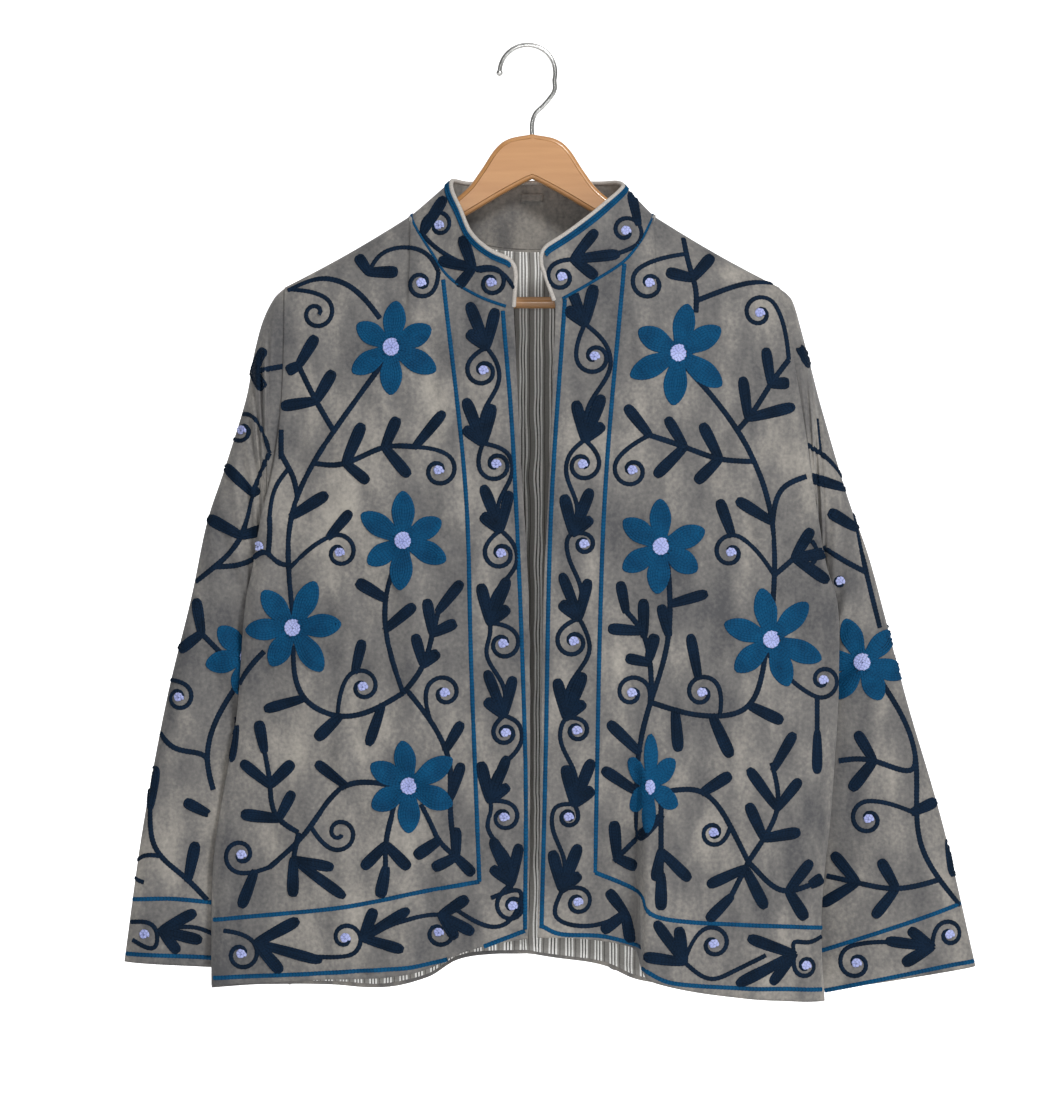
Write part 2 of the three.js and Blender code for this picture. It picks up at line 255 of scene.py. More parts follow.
# The sharp fold of the right front, where the cloth towards the front edge lies further in
FOLD = {
    "x": 93,
    "from": 560,
    "full": 760,
    "ridge": 9,
    "ridge_width": 45,
    "inset": 22,
    "inset_width": 55,
    "hem": 23,
}

# Soft folds down a panel: side, face, x, lean, from, to, lift and width
FOLDS = (
    (-1, -1, 80, 0.05, 690, 930, -8, 13),
    (-1, -1, 212, 0.14, 300, 620, 6, 13),
    (-1, -1, 262, 0.03, 600, 980, 5, 12),
    (1, -1, 222, 0.16, 270, 600, 6, 13),
    (1, -1, 238, 0, 560, 1000, 5, 12),
    (-1, -1, 108, -0.1, 430, 610, 4, 16),
    (1, -1, 190, 0.02, 480, 950, 5, 22),
    (1, -1, 150, 0, 300, 520, -3, 25),
    (-1, 1, 60, 0, 420, 1060, 7, 26),
    (-1, 1, 140, 0.05, 350, 1100, 6, 22),
    (1, 1, 20, 0, 500, 1120, -6, 18),
    (1, 1, 130, -0.03, 380, 1050, 7, 24),
)

# Short creases in the cloth: side, face, start and end (x, down), depth and width
CREASES = (
    (-1, -1, (225, 240), (190, 275), -3.0, 7),
    (-1, -1, (167, 580), (158, 645), 3.0, 6),
    (-1, -1, (205, 330), (150, 372), 2.4, 7),
    (-1, -1, (212, 350), (170, 405), -2.0, 7),
    (-1, -1, (112, 440), (140, 520), 2.4, 9),
    (-1, -1, (196, 640), (176, 760), 2.6, 11),
    (-1, -1, (94, 590), (76, 700), 3.2, 9),
    (-1, -1, (122, 505), (98, 435), 2.2, 8),
    (-1, -1, (194, 562), (160, 540), 1.8, 5),
    (-1, -1, (150, 770), (128, 802), 2.0, 6),
    (-1, -1, (178, 300), (150, 395), 2.0, 9),
    (-1, -1, (219, 300), (186, 330), -1.6, 8),
    (-1, -1, (205, 395), (238, 470), 2.0, 10),
    (-1, -1, (60, 250), (120, 330), -1.4, 14),
    (-1, -1, (150, 590), (120, 700), 1.8, 13),
    (-1, -1, (230, 600), (215, 740), -1.8, 12),
    (1, -1, (228, 250), (196, 290), -2.0, 8),
    (1, -1, (187, 392), (206, 442), 3.4, 6),
    (1, -1, (176, 396), (192, 440), -2.0, 6),
    (1, -1, (236, 430), (206, 520), 2.6, 9),
    (1, -1, (232, 620), (216, 780), 2.6, 11),
    (1, -1, (120, 600), (132, 700), 2.4, 10),
    (1, -1, (222, 330), (205, 385), -2.2, 7),
    (1, -1, (130, 480), (150, 560), 2.2, 9),
    (1, -1, (215, 560), (190, 660), 2.6, 9),
    (1, -1, (70, 470), (62, 600), 2.0, 8),
    (1, -1, (60, 240), (105, 330), -1.4, 14),
    (1, -1, (255, 470), (225, 600), 2.0, 13),
    (1, -1, (160, 620), (140, 760), -1.8, 14),
    (-1, 1, (225, 250), (180, 300), -2.2, 9),
    (-1, 1, (110, 200), (130, 330), 1.6, 14),
    (1, 1, (225, 250), (186, 310), -2.0, 9),
    (1, 1, (90, 210), (104, 350), 1.5, 15),
    (1, 1, (200, 440), (215, 600), 2.0, 13),
)


def side_name(side):
    return "left" if side < 0 else "right"


def ruffle(seed, a, b):
    """Small uneven wrinkles at places (a, b) on a piece."""
    rng = np.random.default_rng(seed)
    height = 0.0
    for _ in range(WAVES):
        length, heading, phase = rng.uniform(24, 75), rng.uniform(0, math.pi), rng.uniform(0, 2 * math.pi)
        along = a * math.cos(heading) + b * math.sin(heading)
        height = height + np.sin(2 * math.pi * along / length + phase)
    return RUFFLE * height / math.sqrt(WAVES / 2)


def neck_point(side, n):
    name = side_name(side)
    return NECK(name, n), NECK("y", n), NECK(name + "Down", n)


def top_edge(side, face, s):
    """x, y and down of a panel's top edge: its neck seam, then its shoulder seam."""
    share = np.clip(s / SHOULDER_SHARE, 0, 1)
    neck = neck_point(side, lerp(1.0 if face < 0 else 0.0, SHOULDER_N, share))
    f = np.clip((s - SHOULDER_SHARE) / (1 - SHOULDER_SHARE), 0, 1)
    sag = SHOULDER_SAG * np.sin(math.pi * f)
    shoulder = (
        lerp(NECK_POINT[0], SHOULDER_TIP[0], f),
        0 * f,
        lerp(NECK_POINT[1], SHOULDER_TIP[1], f) + sag,
    )
    return [np.where(s <= SHOULDER_SHARE, a, b) for a, b in zip(neck, shoulder)]


def armhole_depth(side, down):
    p = (down - SHOULDER_TIP[1]) / (UNDERARM[side_name(side)] - SHOULDER_TIP[1])
    return ARMHOLE_DEPTH * np.sqrt(np.clip(1 - p, 0, 1))


def shoulder_round(distance):
    """The cloth turns over the hanger's arm, and its depth then grows down to the chest."""
    turn = np.clip(distance / 170, 0, 1) ** 0.45
    return 1 - (1 - turn) ** 1.6


def fold_side(across):
    """0 on the inner side of the sharp fold, 1 on its outer side."""
    return 1 / (1 + np.exp(-across / 1.5))


def fold_lift(side, face, x, down):
    lift = 0 * x
    for fold_of, fold_face, at, lean, start, end, height, width in FOLDS:
        if (fold_of, fold_face) == (side, face):
            along = np.clip((down - start) / (end - start), 0, 1)
            across = (x - at - lean * (down - start)) / width
            lift = lift + height * np.sin(math.pi * along) * np.exp(-across * across)
    if side > 0 and face < 0:
        reach = smoothstep((down - FOLD["from"]) / (FOLD["full"] - FOLD["from"]))
        across = x - FOLD["x"]
        outside = fold_side(across)
        lift = lift + reach * outside * FOLD["ridge"] * np.exp(-((across / FOLD["ridge_width"]) ** 2))
        lift = lift - reach * (1 - outside) * FOLD["inset"] * np.exp(-((across / FOLD["inset_width"]) ** 2))
    return lift


def crease_lift(side, face, x, down):
    lift = 0 * x
    for crease_side, crease_face, start, end, height, width in CREASES:
        if (crease_side, crease_face) == (side, face):
            line = np.subtract(end, start)
            length = math.hypot(*line)
            dx, dy = x - start[0], down - start[1]
            along = (dx * line[0] + dy * line[1]) / length**2
            across = (dx * line[1] - dy * line[0]) / length / width
            ends = np.sin(math.pi * np.clip(along, 0, 1)) ** 1.5
            lift = lift + height * ends * np.exp(-across * across)
    return lift


def hem_down(side, face, x):
    column = side_name(side) + ("Front" if face < 0 else "Back")
    step = FOLD["hem"] * fold_side(x - FOLD["x"]) if side > 0 and face < 0 else 0
    return HEM(column, x) + step


def body_point(side, face, s, v):
    """Outside of the body. s goes from the centre (0) to the side (1), v from top to hem."""
    name = side_name(side)

    def edge_at(down):
        return FRONT_EDGE(name, down) if face < 0 else 0 * down

    def across(down, share):
        return lerp(edge_at(down), BODY(name, down), share)

    top_x, top_y, top_down = top_edge(side, face, s)
    hem = hem_down(side, face, across(BODY.by[-1] + 0 * s, s))
    down = lerp(top_down, hem, v**ROW_POWER)
    first = edge_at(0 * s)
    top_share = (top_x - first) / (SHOULDER_TIP[0] - first)
    x = across(down, lerp(top_share, s, smoothstep((down - top_down) / SPREAD)))
    opening = armhole_depth(side, down)
    crown = DEPTH("front" if face < 0 else "back", down)
    section = opening + (crown - opening) * np.clip(1 - s * s, 0, 1) ** 0.75
    start = np.abs(top_y)
    turn = shoulder_round(down - top_down)
    small = ruffle(20 + 2 * side + face, x, down) + crease_lift(side, face, x, down)
    depth = start + (section - start) * turn
    depth = depth + (fold_lift(side, face, x, down) + small * (1 - s**8)) * turn
    return np.stack([side * x, face * (SEAM / 2 + depth), -down], -1)


def sleeve_point(side, t, turn):
    """Outside of a sleeve. t runs over the rings, and turn goes once round from the outer point."""
    name = side_name(side)
    rings = SLEEVES[name]
    share = (1 - np.cos(turn)) / 2
    swell = ruffle(40 + side, 38 * turn, 66 * t) * smoothstep(t - 0.5) * 1.5
    ring = (
        lerp(rings("out", t), rings("in", t), share),
        lerp(rings("outY", t), rings("inY", t), share) - (rings("half", t) + swell) * np.sin(turn),
        lerp(rings("outDown", t), rings("inDown", t), share),
    )
    seam_down = lerp(SHOULDER_TIP[1], UNDERARM[name], share)
    depth = armhole_depth(side, seam_down) * shoulder_round(seam_down - SHOULDER_TIP[1])
    seam = (
        np.minimum(BODY(name, seam_down) + ARMHOLE_SEAM, rings("in", 0)),
        -np.sign(np.round(np.sin(turn), 9)) * np.maximum(depth - ARMHOLE_TUCK, 0.6),
        seam_down,
    )
    blends = smoothstep(t), smoothstep(t / ARMHOLE_RINGS), smoothstep(t)
    x, y, down = (lerp(a, b, weight) for a, b, weight in zip(seam, ring, blends))
    return np.stack([side * x, y, -down], -1)


def collar_point(n, h):
    """Outside of the collar. n is signed by the side, h goes from the seam to the free edge."""
    share = np.abs(n)
    left = (n < 0)[..., None]
    low, high = [], []
    for side in (-1, 1):
        name = side_name(side)
        seam_x, seam_y, seam_down = neck_point(side, share)
        low.append(np.stack([side * seam_x, seam_y, -seam_down], -1))
        top = [COLLAR_TOP(column, share) for column in (name, name + "Y", name + "Down")]
        high.append(np.stack([side * top[0], top[1], -top[2]], -1))
    low, high = np.where(left, *low), np.where(left, *high)
    height = np.linalg.norm(high - low, axis=-1)
    from_end = np.clip((1 - share) * HALF_NECK_SEAM / COLLAR_CORNER, 0, 1)
    corner = COLLAR_CORNER * (1 - np.sqrt(1 - (1 - from_end) ** 2))
    rise = lerp(COLLAR_SEAM, height - corner, h) / height
    return low + (high - low) * rise[..., None]


def collar_normal(n, h):
    """Outward normals of the collar at collar_point(n, h)."""
    n, h = np.clip(n, -0.98, 0.98), np.clip(h, 0.05, 0.95)
    across = collar_point(n + 0.01, h) - collar_point(n - 0.01, h)
    return unit(np.cross(collar_point(n, h + 0.04) - collar_point(n, h - 0.04), across))


def fine_steps(count, rim=0.003):
    """Values from 0 to 1 with one more close to each end, so that a rim looks turned, not cut."""
    return np.sort(np.r_[np.linspace(0, 1, count + 1), rim, 1 - rim])


def to_metres(points):
    return (points + np.array([STEM_X, 0, 0])) / 1000


def make_mesh(name, points, faces, materials, slots=None, uv=None):
    """A smooth-shaded object from points in the garment's frame and faces of one size."""
    mesh = bpy.data.meshes.new(name)
    mesh.from_pydata(to_metres(points).tolist(), [], faces.tolist())
    for material in materials:
        mesh.materials.append(material)
    mesh.polygons.foreach_set("use_smooth", [True] * len(mesh.polygons))
    if slots is not None:
        mesh.polygons.foreach_set("material_index", slots)
    if uv is not None:
        corners = np.zeros(len(mesh.loops), np.int32)
        mesh.loops.foreach_get("vertex_index", corners)
        mesh.uv_layers.new(name="UVMap").data.foreach_set("uv", uv[corners].ravel())
    mesh.update()
    shown = bpy.data.objects.new(name, mesh)
    bpy.context.scene.collection.objects.link(shown)
    return shown


def unit(vectors):
    return vectors / np.maximum(np.linalg.norm(vectors, axis=-1, keepdims=True), 1e-9)


def grid_normals(grid, outward, wrap):
    if wrap:
        across = np.roll(grid, -1, 1) - np.roll(grid, 1, 1)
    else:
        across = np.gradient(grid, axis=1)
    normals = unit(np.cross(across, np.gradient(grid, axis=0)))
    return normals * (1 if np.sum(normals * outward) > 0 else -1)


def grid_faces(rows, columns, wrap):
    """Quads between a grid's points, and the closed rim of its points as pairs of neighbours."""
    number = np.arange(rows * columns).reshape(rows, columns)
    if wrap:
        number = np.c_[number, number[:, 0]]
    corners = (number[:-1, :-1], number[:-1, 1:], number[1:, 1:], number[1:, :-1])
    quads = np.stack([c.ravel() for c in corners], -1)
    rims = [number[0], number[-1][::-1]]
    if not wrap:
        rims = [np.r_[number[0], number[1:, -1], number[-1, -2::-1], number[-2::-1, 0]]]
    pairs = np.concatenate([np.stack([rim[:-1], rim[1:]], -1) for rim in rims])
    return quads, pairs


def shell(name, grid, thickness, outward, materials, wrap=False, inset=0.0, flat=None, unlined=0):
    """A closed thin wall under a grid of outside points: outer face, inner face and rims.

    flat is a mask and an axis: there the wall's thickness has no part along that axis.
    unlined counts the first rows whose inner face has the outer one's material.
    """
    rows, columns, _ = grid.shape
    normals = grid_normals(grid, outward, wrap)
    if flat is not None:
        where, axis = flat
        normals[..., axis] = np.where(where, 0, normals[..., axis])
        normals = unit(normals)
    outer = (grid - normals * inset).reshape(-1, 3)
    inner = (grid - normals * (inset + thickness)).reshape(-1, 3)
    quads, pairs = grid_faces(rows, columns, wrap)
    first = outer[quads[:, 0]]
    turned = np.cross(outer[quads[:, 1]] - first, outer[quads[:, 3]] - first)
    if np.sum(turned * normals.reshape(-1, 3)[quads[:, 0]]) < 0:
        quads, pairs = quads[:, ::-1], pairs[:, ::-1]
    count = len(outer)
    rim = np.c_[pairs[:, 1], pairs[:, 0], pairs[:, 0] + count, pairs[:, 1] + count]
    faces = np.concatenate([quads, quads[:, ::-1] + count, rim])
    lined = np.repeat(np.arange(rows - 1) >= unlined, len(quads) // (rows - 1))
    slots = np.concatenate([np.zeros(len(quads)), lined, np.zeros(len(rim))])
    steps = np.linalg.norm(np.diff(grid, axis=1, prepend=grid[:, :1]), axis=-1)
    length = np.linalg.norm(np.diff(grid, axis=0, prepend=grid[:1]), axis=-1)
    along = np.cumsum(length, axis=0).mean(1, keepdims=True) + 0 * length
    around = np.cumsum(steps, axis=1) if wrap else grid[..., 0]
    uv = np.stack([around, along], -1).reshape(-1, 2) / 1000
    return make_mesh(name, np.r_[outer, inner], faces, materials, slots.astype(int), np.r_[uv, uv])


def front_grid(side):
    v, s = np.meshgrid(fine_steps(130), fine_steps(66), indexing="ij")
    return body_point(side, -1, s, v), (s == 1) | ((v == 0) & (s >= SHOULDER_SHARE))


def back_grid():
    v, s = np.meshgrid(fine_steps(120), fine_steps(60)[:-2], indexing="ij")
    left = body_point(-1, 1, 1 - s, v)
    right = body_point(1, 1, 1 - s, v)[:, ::-1]
    v, s = np.c_[v, v], np.c_[1 - s, (1 - s)[:, ::-1]]
    return np.concatenate([left, right], 1), (s == 1) | ((v == 0) & (s >= SHOULDER_SHARE))


def sleeve_grid(side):
    f, turn = np.meshgrid(fine_steps(110), np.arange(108) / 108, indexing="ij")
    return sleeve_point(side, 10 * f**1.15, 2 * math.pi * turn)


def collar_grid():
    h, u = np.meshgrid(fine_steps(16, 0.02), fine_steps(180), indexing="ij")
    return collar_point(2 * u - 1, 1 - h)


# Materials


def rgb(*values):
    """A linear colour from sRGB values of 0 to 255."""
    share = np.array(values) / 255
    linear = np.where(share <= 0.04045, share / 12.92, ((share + 0.055) / 1.055) ** 2.4)
    return (*linear.tolist(), 1.0)


def new_tree(name):
    material = bpy.data.materials.new(name)
    material.use_nodes = True
    material.node_tree.nodes.clear()
    return material, material.node_tree


def add(tree, kind, settings=None, **inputs):
    """A node with its settings made and its inputs set to a constant or joined to a socket."""
    node = tree.nodes.new("ShaderNode" + kind)
    for key, value in (settings or {}).items():
        setattr(node, key, value)
    for key, value in inputs.items():
        socket = node.inputs[int(key[1:]) if key[1:].isdigit() else key.replace("_", " ")]
        if isinstance(value, bpy.types.NodeSocket):
            tree.links.new(value, socket)
        else:
            socket.default_value = value
    return node


def maths(tree, operation, a, b=0.0):
    return add(tree, "Math", {"operation": operation}, _0=a, _1=b).outputs[0]


def noise(tree, where, scale, detail=2.0):
    return add(tree, "TexNoise", Vector=where, Scale=scale, Detail=detail).outputs[0]


def place(tree, output="Object", scale=(1, 1, 1)):
    """Texture coordinates, stretched along each axis by scale."""
    source = add(tree, "TexCoord").outputs[output]
    return add(tree, "Mapping", Vector=source, Scale=scale).outputs[0]


def ramp(tree, value, *stops):
    """A colour ramp through (position, colour) stops."""
    node = add(tree, "ValToRGB", Fac=value)
    elements = node.color_ramp.elements
    while len(elements) < len(stops):
        elements.new(0.5)
    for element, (position, colour) in zip(elements, stops):
        element.position = position
        element.color = colour
    return node.outputs[0]


def blend(tree, share, a, b, mode="MIX"):
    node = add(tree, "Mix", {"data_type": "RGBA", "blend_type": mode}, Factor=share)
    for socket, value in ((node.inputs[6], a), (node.inputs[7], b)):
        if isinstance(value, bpy.types.NodeSocket):
            tree.links.new(value, socket)
        else:
            socket.default_value = value
    return node.outputs[2]


def bump(tree, height, strength, distance):
    return add(tree, "Bump", Height=height, Strength=strength, Distance=distance).outputs[0]


def finish_material(material, tree, **inputs):
    shader = add(tree, "BsdfPrincipled", **inputs)
    output = add(tree, "OutputMaterial")
    tree.links.new(shader.outputs[0], output.inputs[0])
    return material


def velvet_material():
    """Warm grey cotton velvet, whose pile lies in uneven patches."""
    material, tree = new_tree("velvet")
    where = place(tree)
    patches = noise(tree, where, 9.0, 3.0)
    streaks = noise(tree, place(tree, scale=(1.0, 1.0, 0.35)), 45.0, 5.0)
    crush = noise(tree, where, 320.0, 3.0)
    nap = noise(tree, where, 1600.0, 2.0)
    broad = maths(tree, "MULTIPLY", patches, 0.36)
    level = maths(tree, "ADD", broad, maths(tree, "MULTIPLY", streaks, 0.44))
    level = maths(tree, "ADD", level, maths(tree, "MULTIPLY", crush, 0.2))
    colour = ramp(
        tree,
        level,
        (0.37, rgb(82, 82, 84)),
        (0.5, rgb(113, 111, 109)),
        (0.66, rgb(160, 155, 147)),
    )
    height = maths(tree, "ADD", nap, maths(tree, "MULTIPLY", crush, 2.0))
    return finish_material(
        material,
        tree,
        Base_Color=colour,
        Roughness=0.92,
        Specular_IOR_Level=0.15,
        Sheen_Weight=0.2,
        Sheen_Roughness=0.45,
        Normal=bump(tree, height, 0.4, 0.0007),
    )


def stripe_material():
    """Grey cotton lining with groups of three white lines and a fine dark line between them."""
    material, tree = new_tree("stripe")
    across = add(tree, "SeparateXYZ", Vector=place(tree, "UV")).outputs[0]
    phase = maths(tree, "FRACT", maths(tree, "MULTIPLY", across, 1000 / STRIPE_PITCH))
    grey, white, dark = rgb(148, 146, 142), rgb(248, 247, 244), rgb(84, 82, 80)
    stripes = add(tree, "ValToRGB", Fac=phase)
    stripes.color_ramp.interpolation = "CONSTANT"
    elements = stripes.color_ramp.elements
    for start, colour in STRIPE_STARTS:
        at = elements[0] if start == 0 else elements.new(start)
        at.color = {"grey": grey, "white": white, "dark": dark}[colour]
    elements.remove(elements[-1])
    weave = noise(tree, place(tree), 900.0, 2.0)
    shade = ramp(tree, weave, (0.3, rgb(90, 88, 85)), (0.7, rgb(235, 235, 235)))
    colour = blend(tree, 0.25, stripes.outputs[0], shade, "MULTIPLY")
    return finish_material(
        material,
        tree,
        Base_Color=colour,
        Roughness=0.85,
        Normal=bump(tree, weave, 0.25, 0.0004),
    )


def piping_material():
    """Plain pale colour for the collar's rolled edge."""
    material, tree = new_tree("piping")
    weave = noise(tree, place(tree), 900.0, 2.0)
    pale = ramp(tree, weave, (0.3, rgb(158, 153, 147)), (0.7, rgb(188, 183, 177)))
    return finish_material(
        material,
        tree,
        Base_Color=pale,
        Roughness=0.85,
        Normal=bump(tree, weave, 0.25, 0.0004),
    )


def thread_material(name, dark, light):
    """Stranded yarn, with painted shade where one chain link meets the next: UV runs along a row in metres,
    and across it from -0.5 to 0.5.
    """
    material, tree = new_tree(name)
    split = add(tree, "SeparateXYZ", Vector=place(tree, "UV"))
    along, across = split.outputs[0], split.outputs[1]
    slant = maths(tree, "MULTIPLY", maths(tree, "ABSOLUTE", across), 0.7)
    stitch = maths(tree, "FRACT", maths(tree, "ADD", maths(tree, "MULTIPLY", along, 1000 / STITCH), slant))
    # shade and gap: painted shade, darker at both ends of each stitch where one chain link meets the next
    shade, full = (0.5, 0.5, 0.5, 1), (1, 1, 1, 1)
    gap = ramp(tree, stitch, (0.0, shade), (0.2, full), (0.82, full), (1.0, shade))
    tone = noise(tree, place(tree), 70.0, 3.0)
    strand = noise(tree, place(tree, "UV", (1500.0, 14.0, 1.0)), 1.0, 2.0)
    level = maths(tree, "ADD", maths(tree, "MULTIPLY", tone, 0.5), maths(tree, "MULTIPLY", strand, 0.5))
    yarn = ramp(tree, level, (0.35, dark), (0.65, light))
    return finish_material(
        material,
        tree,
        Base_Color=blend(tree, 1.0, yarn, gap, "MULTIPLY"),
        Roughness=0.75,
        Specular_IOR_Level=0.12,
        Normal=bump(tree, strand, 0.4, 0.0003),
    )


def wood_material():
    """Pale varnished beech, with its grain along the hanger."""
    material, tree = new_tree("wood")
    grain = noise(tree, place(tree, scale=(7.0, 90.0, 90.0)), 2.0, 5.0)
    colour = ramp(tree, grain, (0.3, rgb(176, 125, 76)), (0.7, rgb(187, 137, 87)))
    return finish_material(
        material,
        tree,
        Base_Color=colour,
        Roughness=0.38,
        Coat_Weight=0.35,
        Coat_Roughness=0.12,
        Normal=bump(tree, grain, 0.06, 0.0005),
    )


def steel_material():
    material, tree = new_tree("steel")
    haze = noise(tree, place(tree), 300.0, 2.0)
    colour = ramp(tree, haze, (0.3, rgb(176, 176, 174)), (0.7, rgb(208, 208, 206)))
    return finish_material(material, tree, Base_Color=colour, Metallic=1.0, Roughness=0.24)


def stage_material(name, glow):
    material, tree = new_tree(name)
    pale = ramp(tree, noise(tree, place(tree), 3.0), (0.3, rgb(246, 246, 246)), (0.7, rgb(249, 249, 249)))
    return finish_material(
        material,
        tree,
        Base_Color=pale,
        Roughness=0.9,
        Emission_Color=(1, 1, 1, 1),
        Emission_Strength=glow,
    )


# Hanger


def spline(points, step):
    """Points about every step along a smooth curve through the given ones."""
    points = np.array(points, float)
    padded = np.r_[[2 * points[0] - points[1]], points, [2 * points[-1] - points[-2]]]
    curve = []
    for a, b, c, d in zip(padded, padded[1:], padded[2:], padded[3:]):
        count = max(2, round(float(np.linalg.norm(c - b)) / step))
        u = (np.arange(count) / count)[:, None]
        bend = (2 * a - 5 * b + 4 * c - d) * u**2 + (3 * b - a - 3 * c + d) * u**3
        curve.append(b + 0.5 * ((c - a) * u + bend))
    return np.concatenate(curve + [points[-1:]])


def frames(path):
    """Two directions across a path at each of its points, for a path that stays clear of Y."""
    tangents = unit(np.gradient(path, axis=0))
    first = unit(np.cross(tangents, (0.0, 1.0, 0.0)))
    return first, np.cross(tangents, first)


def tube(name, path, radii, material, sides=20):
    """A closed round bar along a path, with its own radius at each point."""
    first, second = frames(path)
    turn = 2 * math.pi * np.arange(sides) / sides
    ring = np.cos(turn)[:, None] * first[:, None] + np.sin(turn)[:, None] * second[:, None]
    points = (path[:, None] + ring * radii[:, None, None]).reshape(-1, 3)
    quads, _ = grid_faces(len(path), sides, True)
    return make_mesh(name, points, quads[:, ::-1], [material])


def board_outline():
    """x and down of the hanger's board, right half, from the crown's top to the notch under it."""
    upper = [(0, 75), (20, 79), (32, 88), (44, 106), (57, 123), (76, 137), (104, 150.4), (158, 182.4)]
    tip = [(198, 205.4), (205, 214), (205, 223), (198, 230)]
    lug = [(BAR_END, 230), (BAR_END, 213)]
    lower = [(166, 206), (140, 194), (100, 170), (56, 145), (30, 129.5), (12, 119.5), (0, 113.5)]
    return np.concatenate([spline(upper, 3), spline(tip, 3), lug, spline(lower, 3)])


def hanger_board(material):
    """The board, its outline drawn in by a quarter round on each face."""
    right = board_outline()
    outline = np.r_[right, right[-2:0:-1] * (-1, 1)]
    edge = np.roll(outline, -1, 0) - np.roll(outline, 1, 0)
    inward = unit(np.c_[-edge[:, 1], edge[:, 0]])
    turn = np.linspace(0, math.pi / 2, 7)
    half = BOARD_THICKNESS / 2 - BOARD_BEVEL
    steps = [(1 - math.cos(a), half + BOARD_BEVEL * math.sin(a)) for a in turn]
    rings = [(share, -y) for share, y in steps[::-1]] + steps
    grid = []
    for share, y in rings:
        at = outline + inward * share * BOARD_BEVEL
        grid.append(np.c_[at[:, 0], np.full(len(at), y), -at[:, 1]])
    points = np.concatenate(grid)
    quads, _ = grid_faces(len(rings), len(outline), True)
    board = make_mesh("hanger_board", points, quads, [material])
    count = len(outline)
    mesh = board.data
    caps = bpy.data.meshes.new("caps")
    first, last = list(range(count)), list(range(len(points) - count, len(points)))
    caps.from_pydata([v.co for v in mesh.vertices], [], quads.tolist() + [first, last[::-1]])
    caps.materials.append(material)
    caps.polygons.foreach_set("use_smooth", [True] * len(quads) + [False, False])
    board.data = caps
    return board


def hook_path():
    """The hook's centre line, in the object's own frame: an arc about the rail, then the stem."""
    centre = HOOK_RADIUS - HOOK_WIRE
    turn = math.pi * np.linspace(1, -0.08, 40)
    arc = np.c_[HOOK_RADIUS * np.cos(turn), 0 * turn, HOOK_RADIUS * np.sin(turn) - centre]
    stem = spline([arc[-1], (23, 0, -38), (15, 0, -49), (7, 0, -57), (STEM_X, 0, -66), (STEM_X, 0, -76)], 2)
    return np.r_[arc[:-1], stem] - (STEM_X, 0, 0)


def piping(name, material, radius=1.9):
    """A rolled edge over the collar's front ends and its top."""
    n = np.r_[np.full(24, -1), np.linspace(-1, 1, 260), np.full(24, 1)]
    h = np.r_[np.linspace(0.1, 0.98, 24), np.full(260, 1), np.linspace(0.98, 0.1, 24)]
    normals = collar_normal(n, h)
    path = collar_point(n, h) - normals * CLOTH / 2
    across = np.cross(unit(np.gradient(path, axis=0)), normals)
    turn = (2 * math.pi * np.arange(10) / 10)[:, None]
    ring = np.cos(turn) * normals[:, None] + np.sin(turn) * across[:, None]
    points = (path[:, None] + ring * radius).reshape(-1, 3)
    quads, _ = grid_faces(len(path), 10, True)
    return make_mesh(name, points, quads, [material])


def ball(name, centre, radius, material):
    """A small sphere, as a short tube that swells and closes."""
    turn = np.linspace(0.02, math.pi - 0.02, 16)
    path = np.array(centre) + np.c_[0 * turn, 0 * turn, radius * np.cos(turn)]
    return tube(name, path, radius * np.sin(turn), material)


def neck_loop(material):
    """A plain folded strip on the inside of the collar."""
    inside = collar_point(np.array([0.0]), np.array([1.0]))[0][1] - CLOTH - SEAM
    half, low = LOOP["width"] / 2, -LOOP["down"] - LOOP["height"] / 2
    x, z = np.meshgrid(np.linspace(-half, half, 12), np.linspace(0, LOOP["height"], 6), indexing="ij")
    y = inside - 0.35 * np.cos(z / LOOP["height"] * math.pi * 2) - 0.35
    grid = np.stack([x, y, low + z], -1)
    return shell("loop_strip", grid, LOOP["thickness"], (0, 1, 0), [material, material])


# Embroidery

WIDTHS = {"vine": 5.2, "stem": 4.3, "line": 4.1, "fill": 3.1}  # of a row of chain stitches
COLLAR_LINES = (0.94, 0.885, 0.03)  # heights of the rows along the collar, as shares of its own
ROW_HEIGHT = 1.25
ROW_PITCH = 2.1  # between the rows of a filled shape
LEAF_HALF = 4.7
PETAL_HALF = 9.4
DOT_RADIUS = 4.8
FOLD_SQUEEZE = 0.45  # of the flower that the right front's sharp fold turns away
BEAT = np.array([(0.88, 0.72), (1.0, 1.0)])  # a row's width and height along a stitch
SECTION = np.array([(-1.0, 0.0), (-0.5, 1.0), (0.5, 1.0), (1.0, 0.0)])  # across a row
LEAF = Table(
    "p width",
    (0, 0.42),
    (0.12, 0.72),
    (0.5, 0.95),
    (0.78, 1),
    (0.92, 0.86),
    (0.97, 0.62),
    (1, 0.3),
)
CURL_LOOP = 16.0  # radius of a curl's loop where there is room for it
CURL_SHARE = 0.72  # of the distance from a short curl's start to its eye
CURL_TURNS = 1.3
CURL_END = 2.5
ROOT_REACH = 16.0  # a motif that starts this close to a line sprouts from it
HANDS = {"cw": 1, "ccw": -1}
SPRIG_TIPS = ((-15, -38), (-16, -13), (8, -33))  # of a sprig's leaves, from its junction
SPRIG_BENDS = ((11, -8), (14, 6))  # of the stem to the next sprig, from the dot
ORDER = ("vine", "stem", "curl", "coil")
PETAL = Table(
    "p width",
    (0, 0.5),
    (0.2, 0.68),
    (0.42, 0.94),
    (0.58, 1),
    (0.76, 0.83),
    (0.9, 0.52),
    (1, 0.08),
)


def evenly(points, step):
    """The same line, with points a step apart."""
    gaps = np.linalg.norm(np.diff(points, axis=0), axis=1)
    run = np.r_[0, np.cumsum(gaps)]
    at = np.linspace(0, run[-1], max(3, round(run[-1] / step) + 1))
    return np.stack([np.interp(at, run, column) for column in points.T], -1)


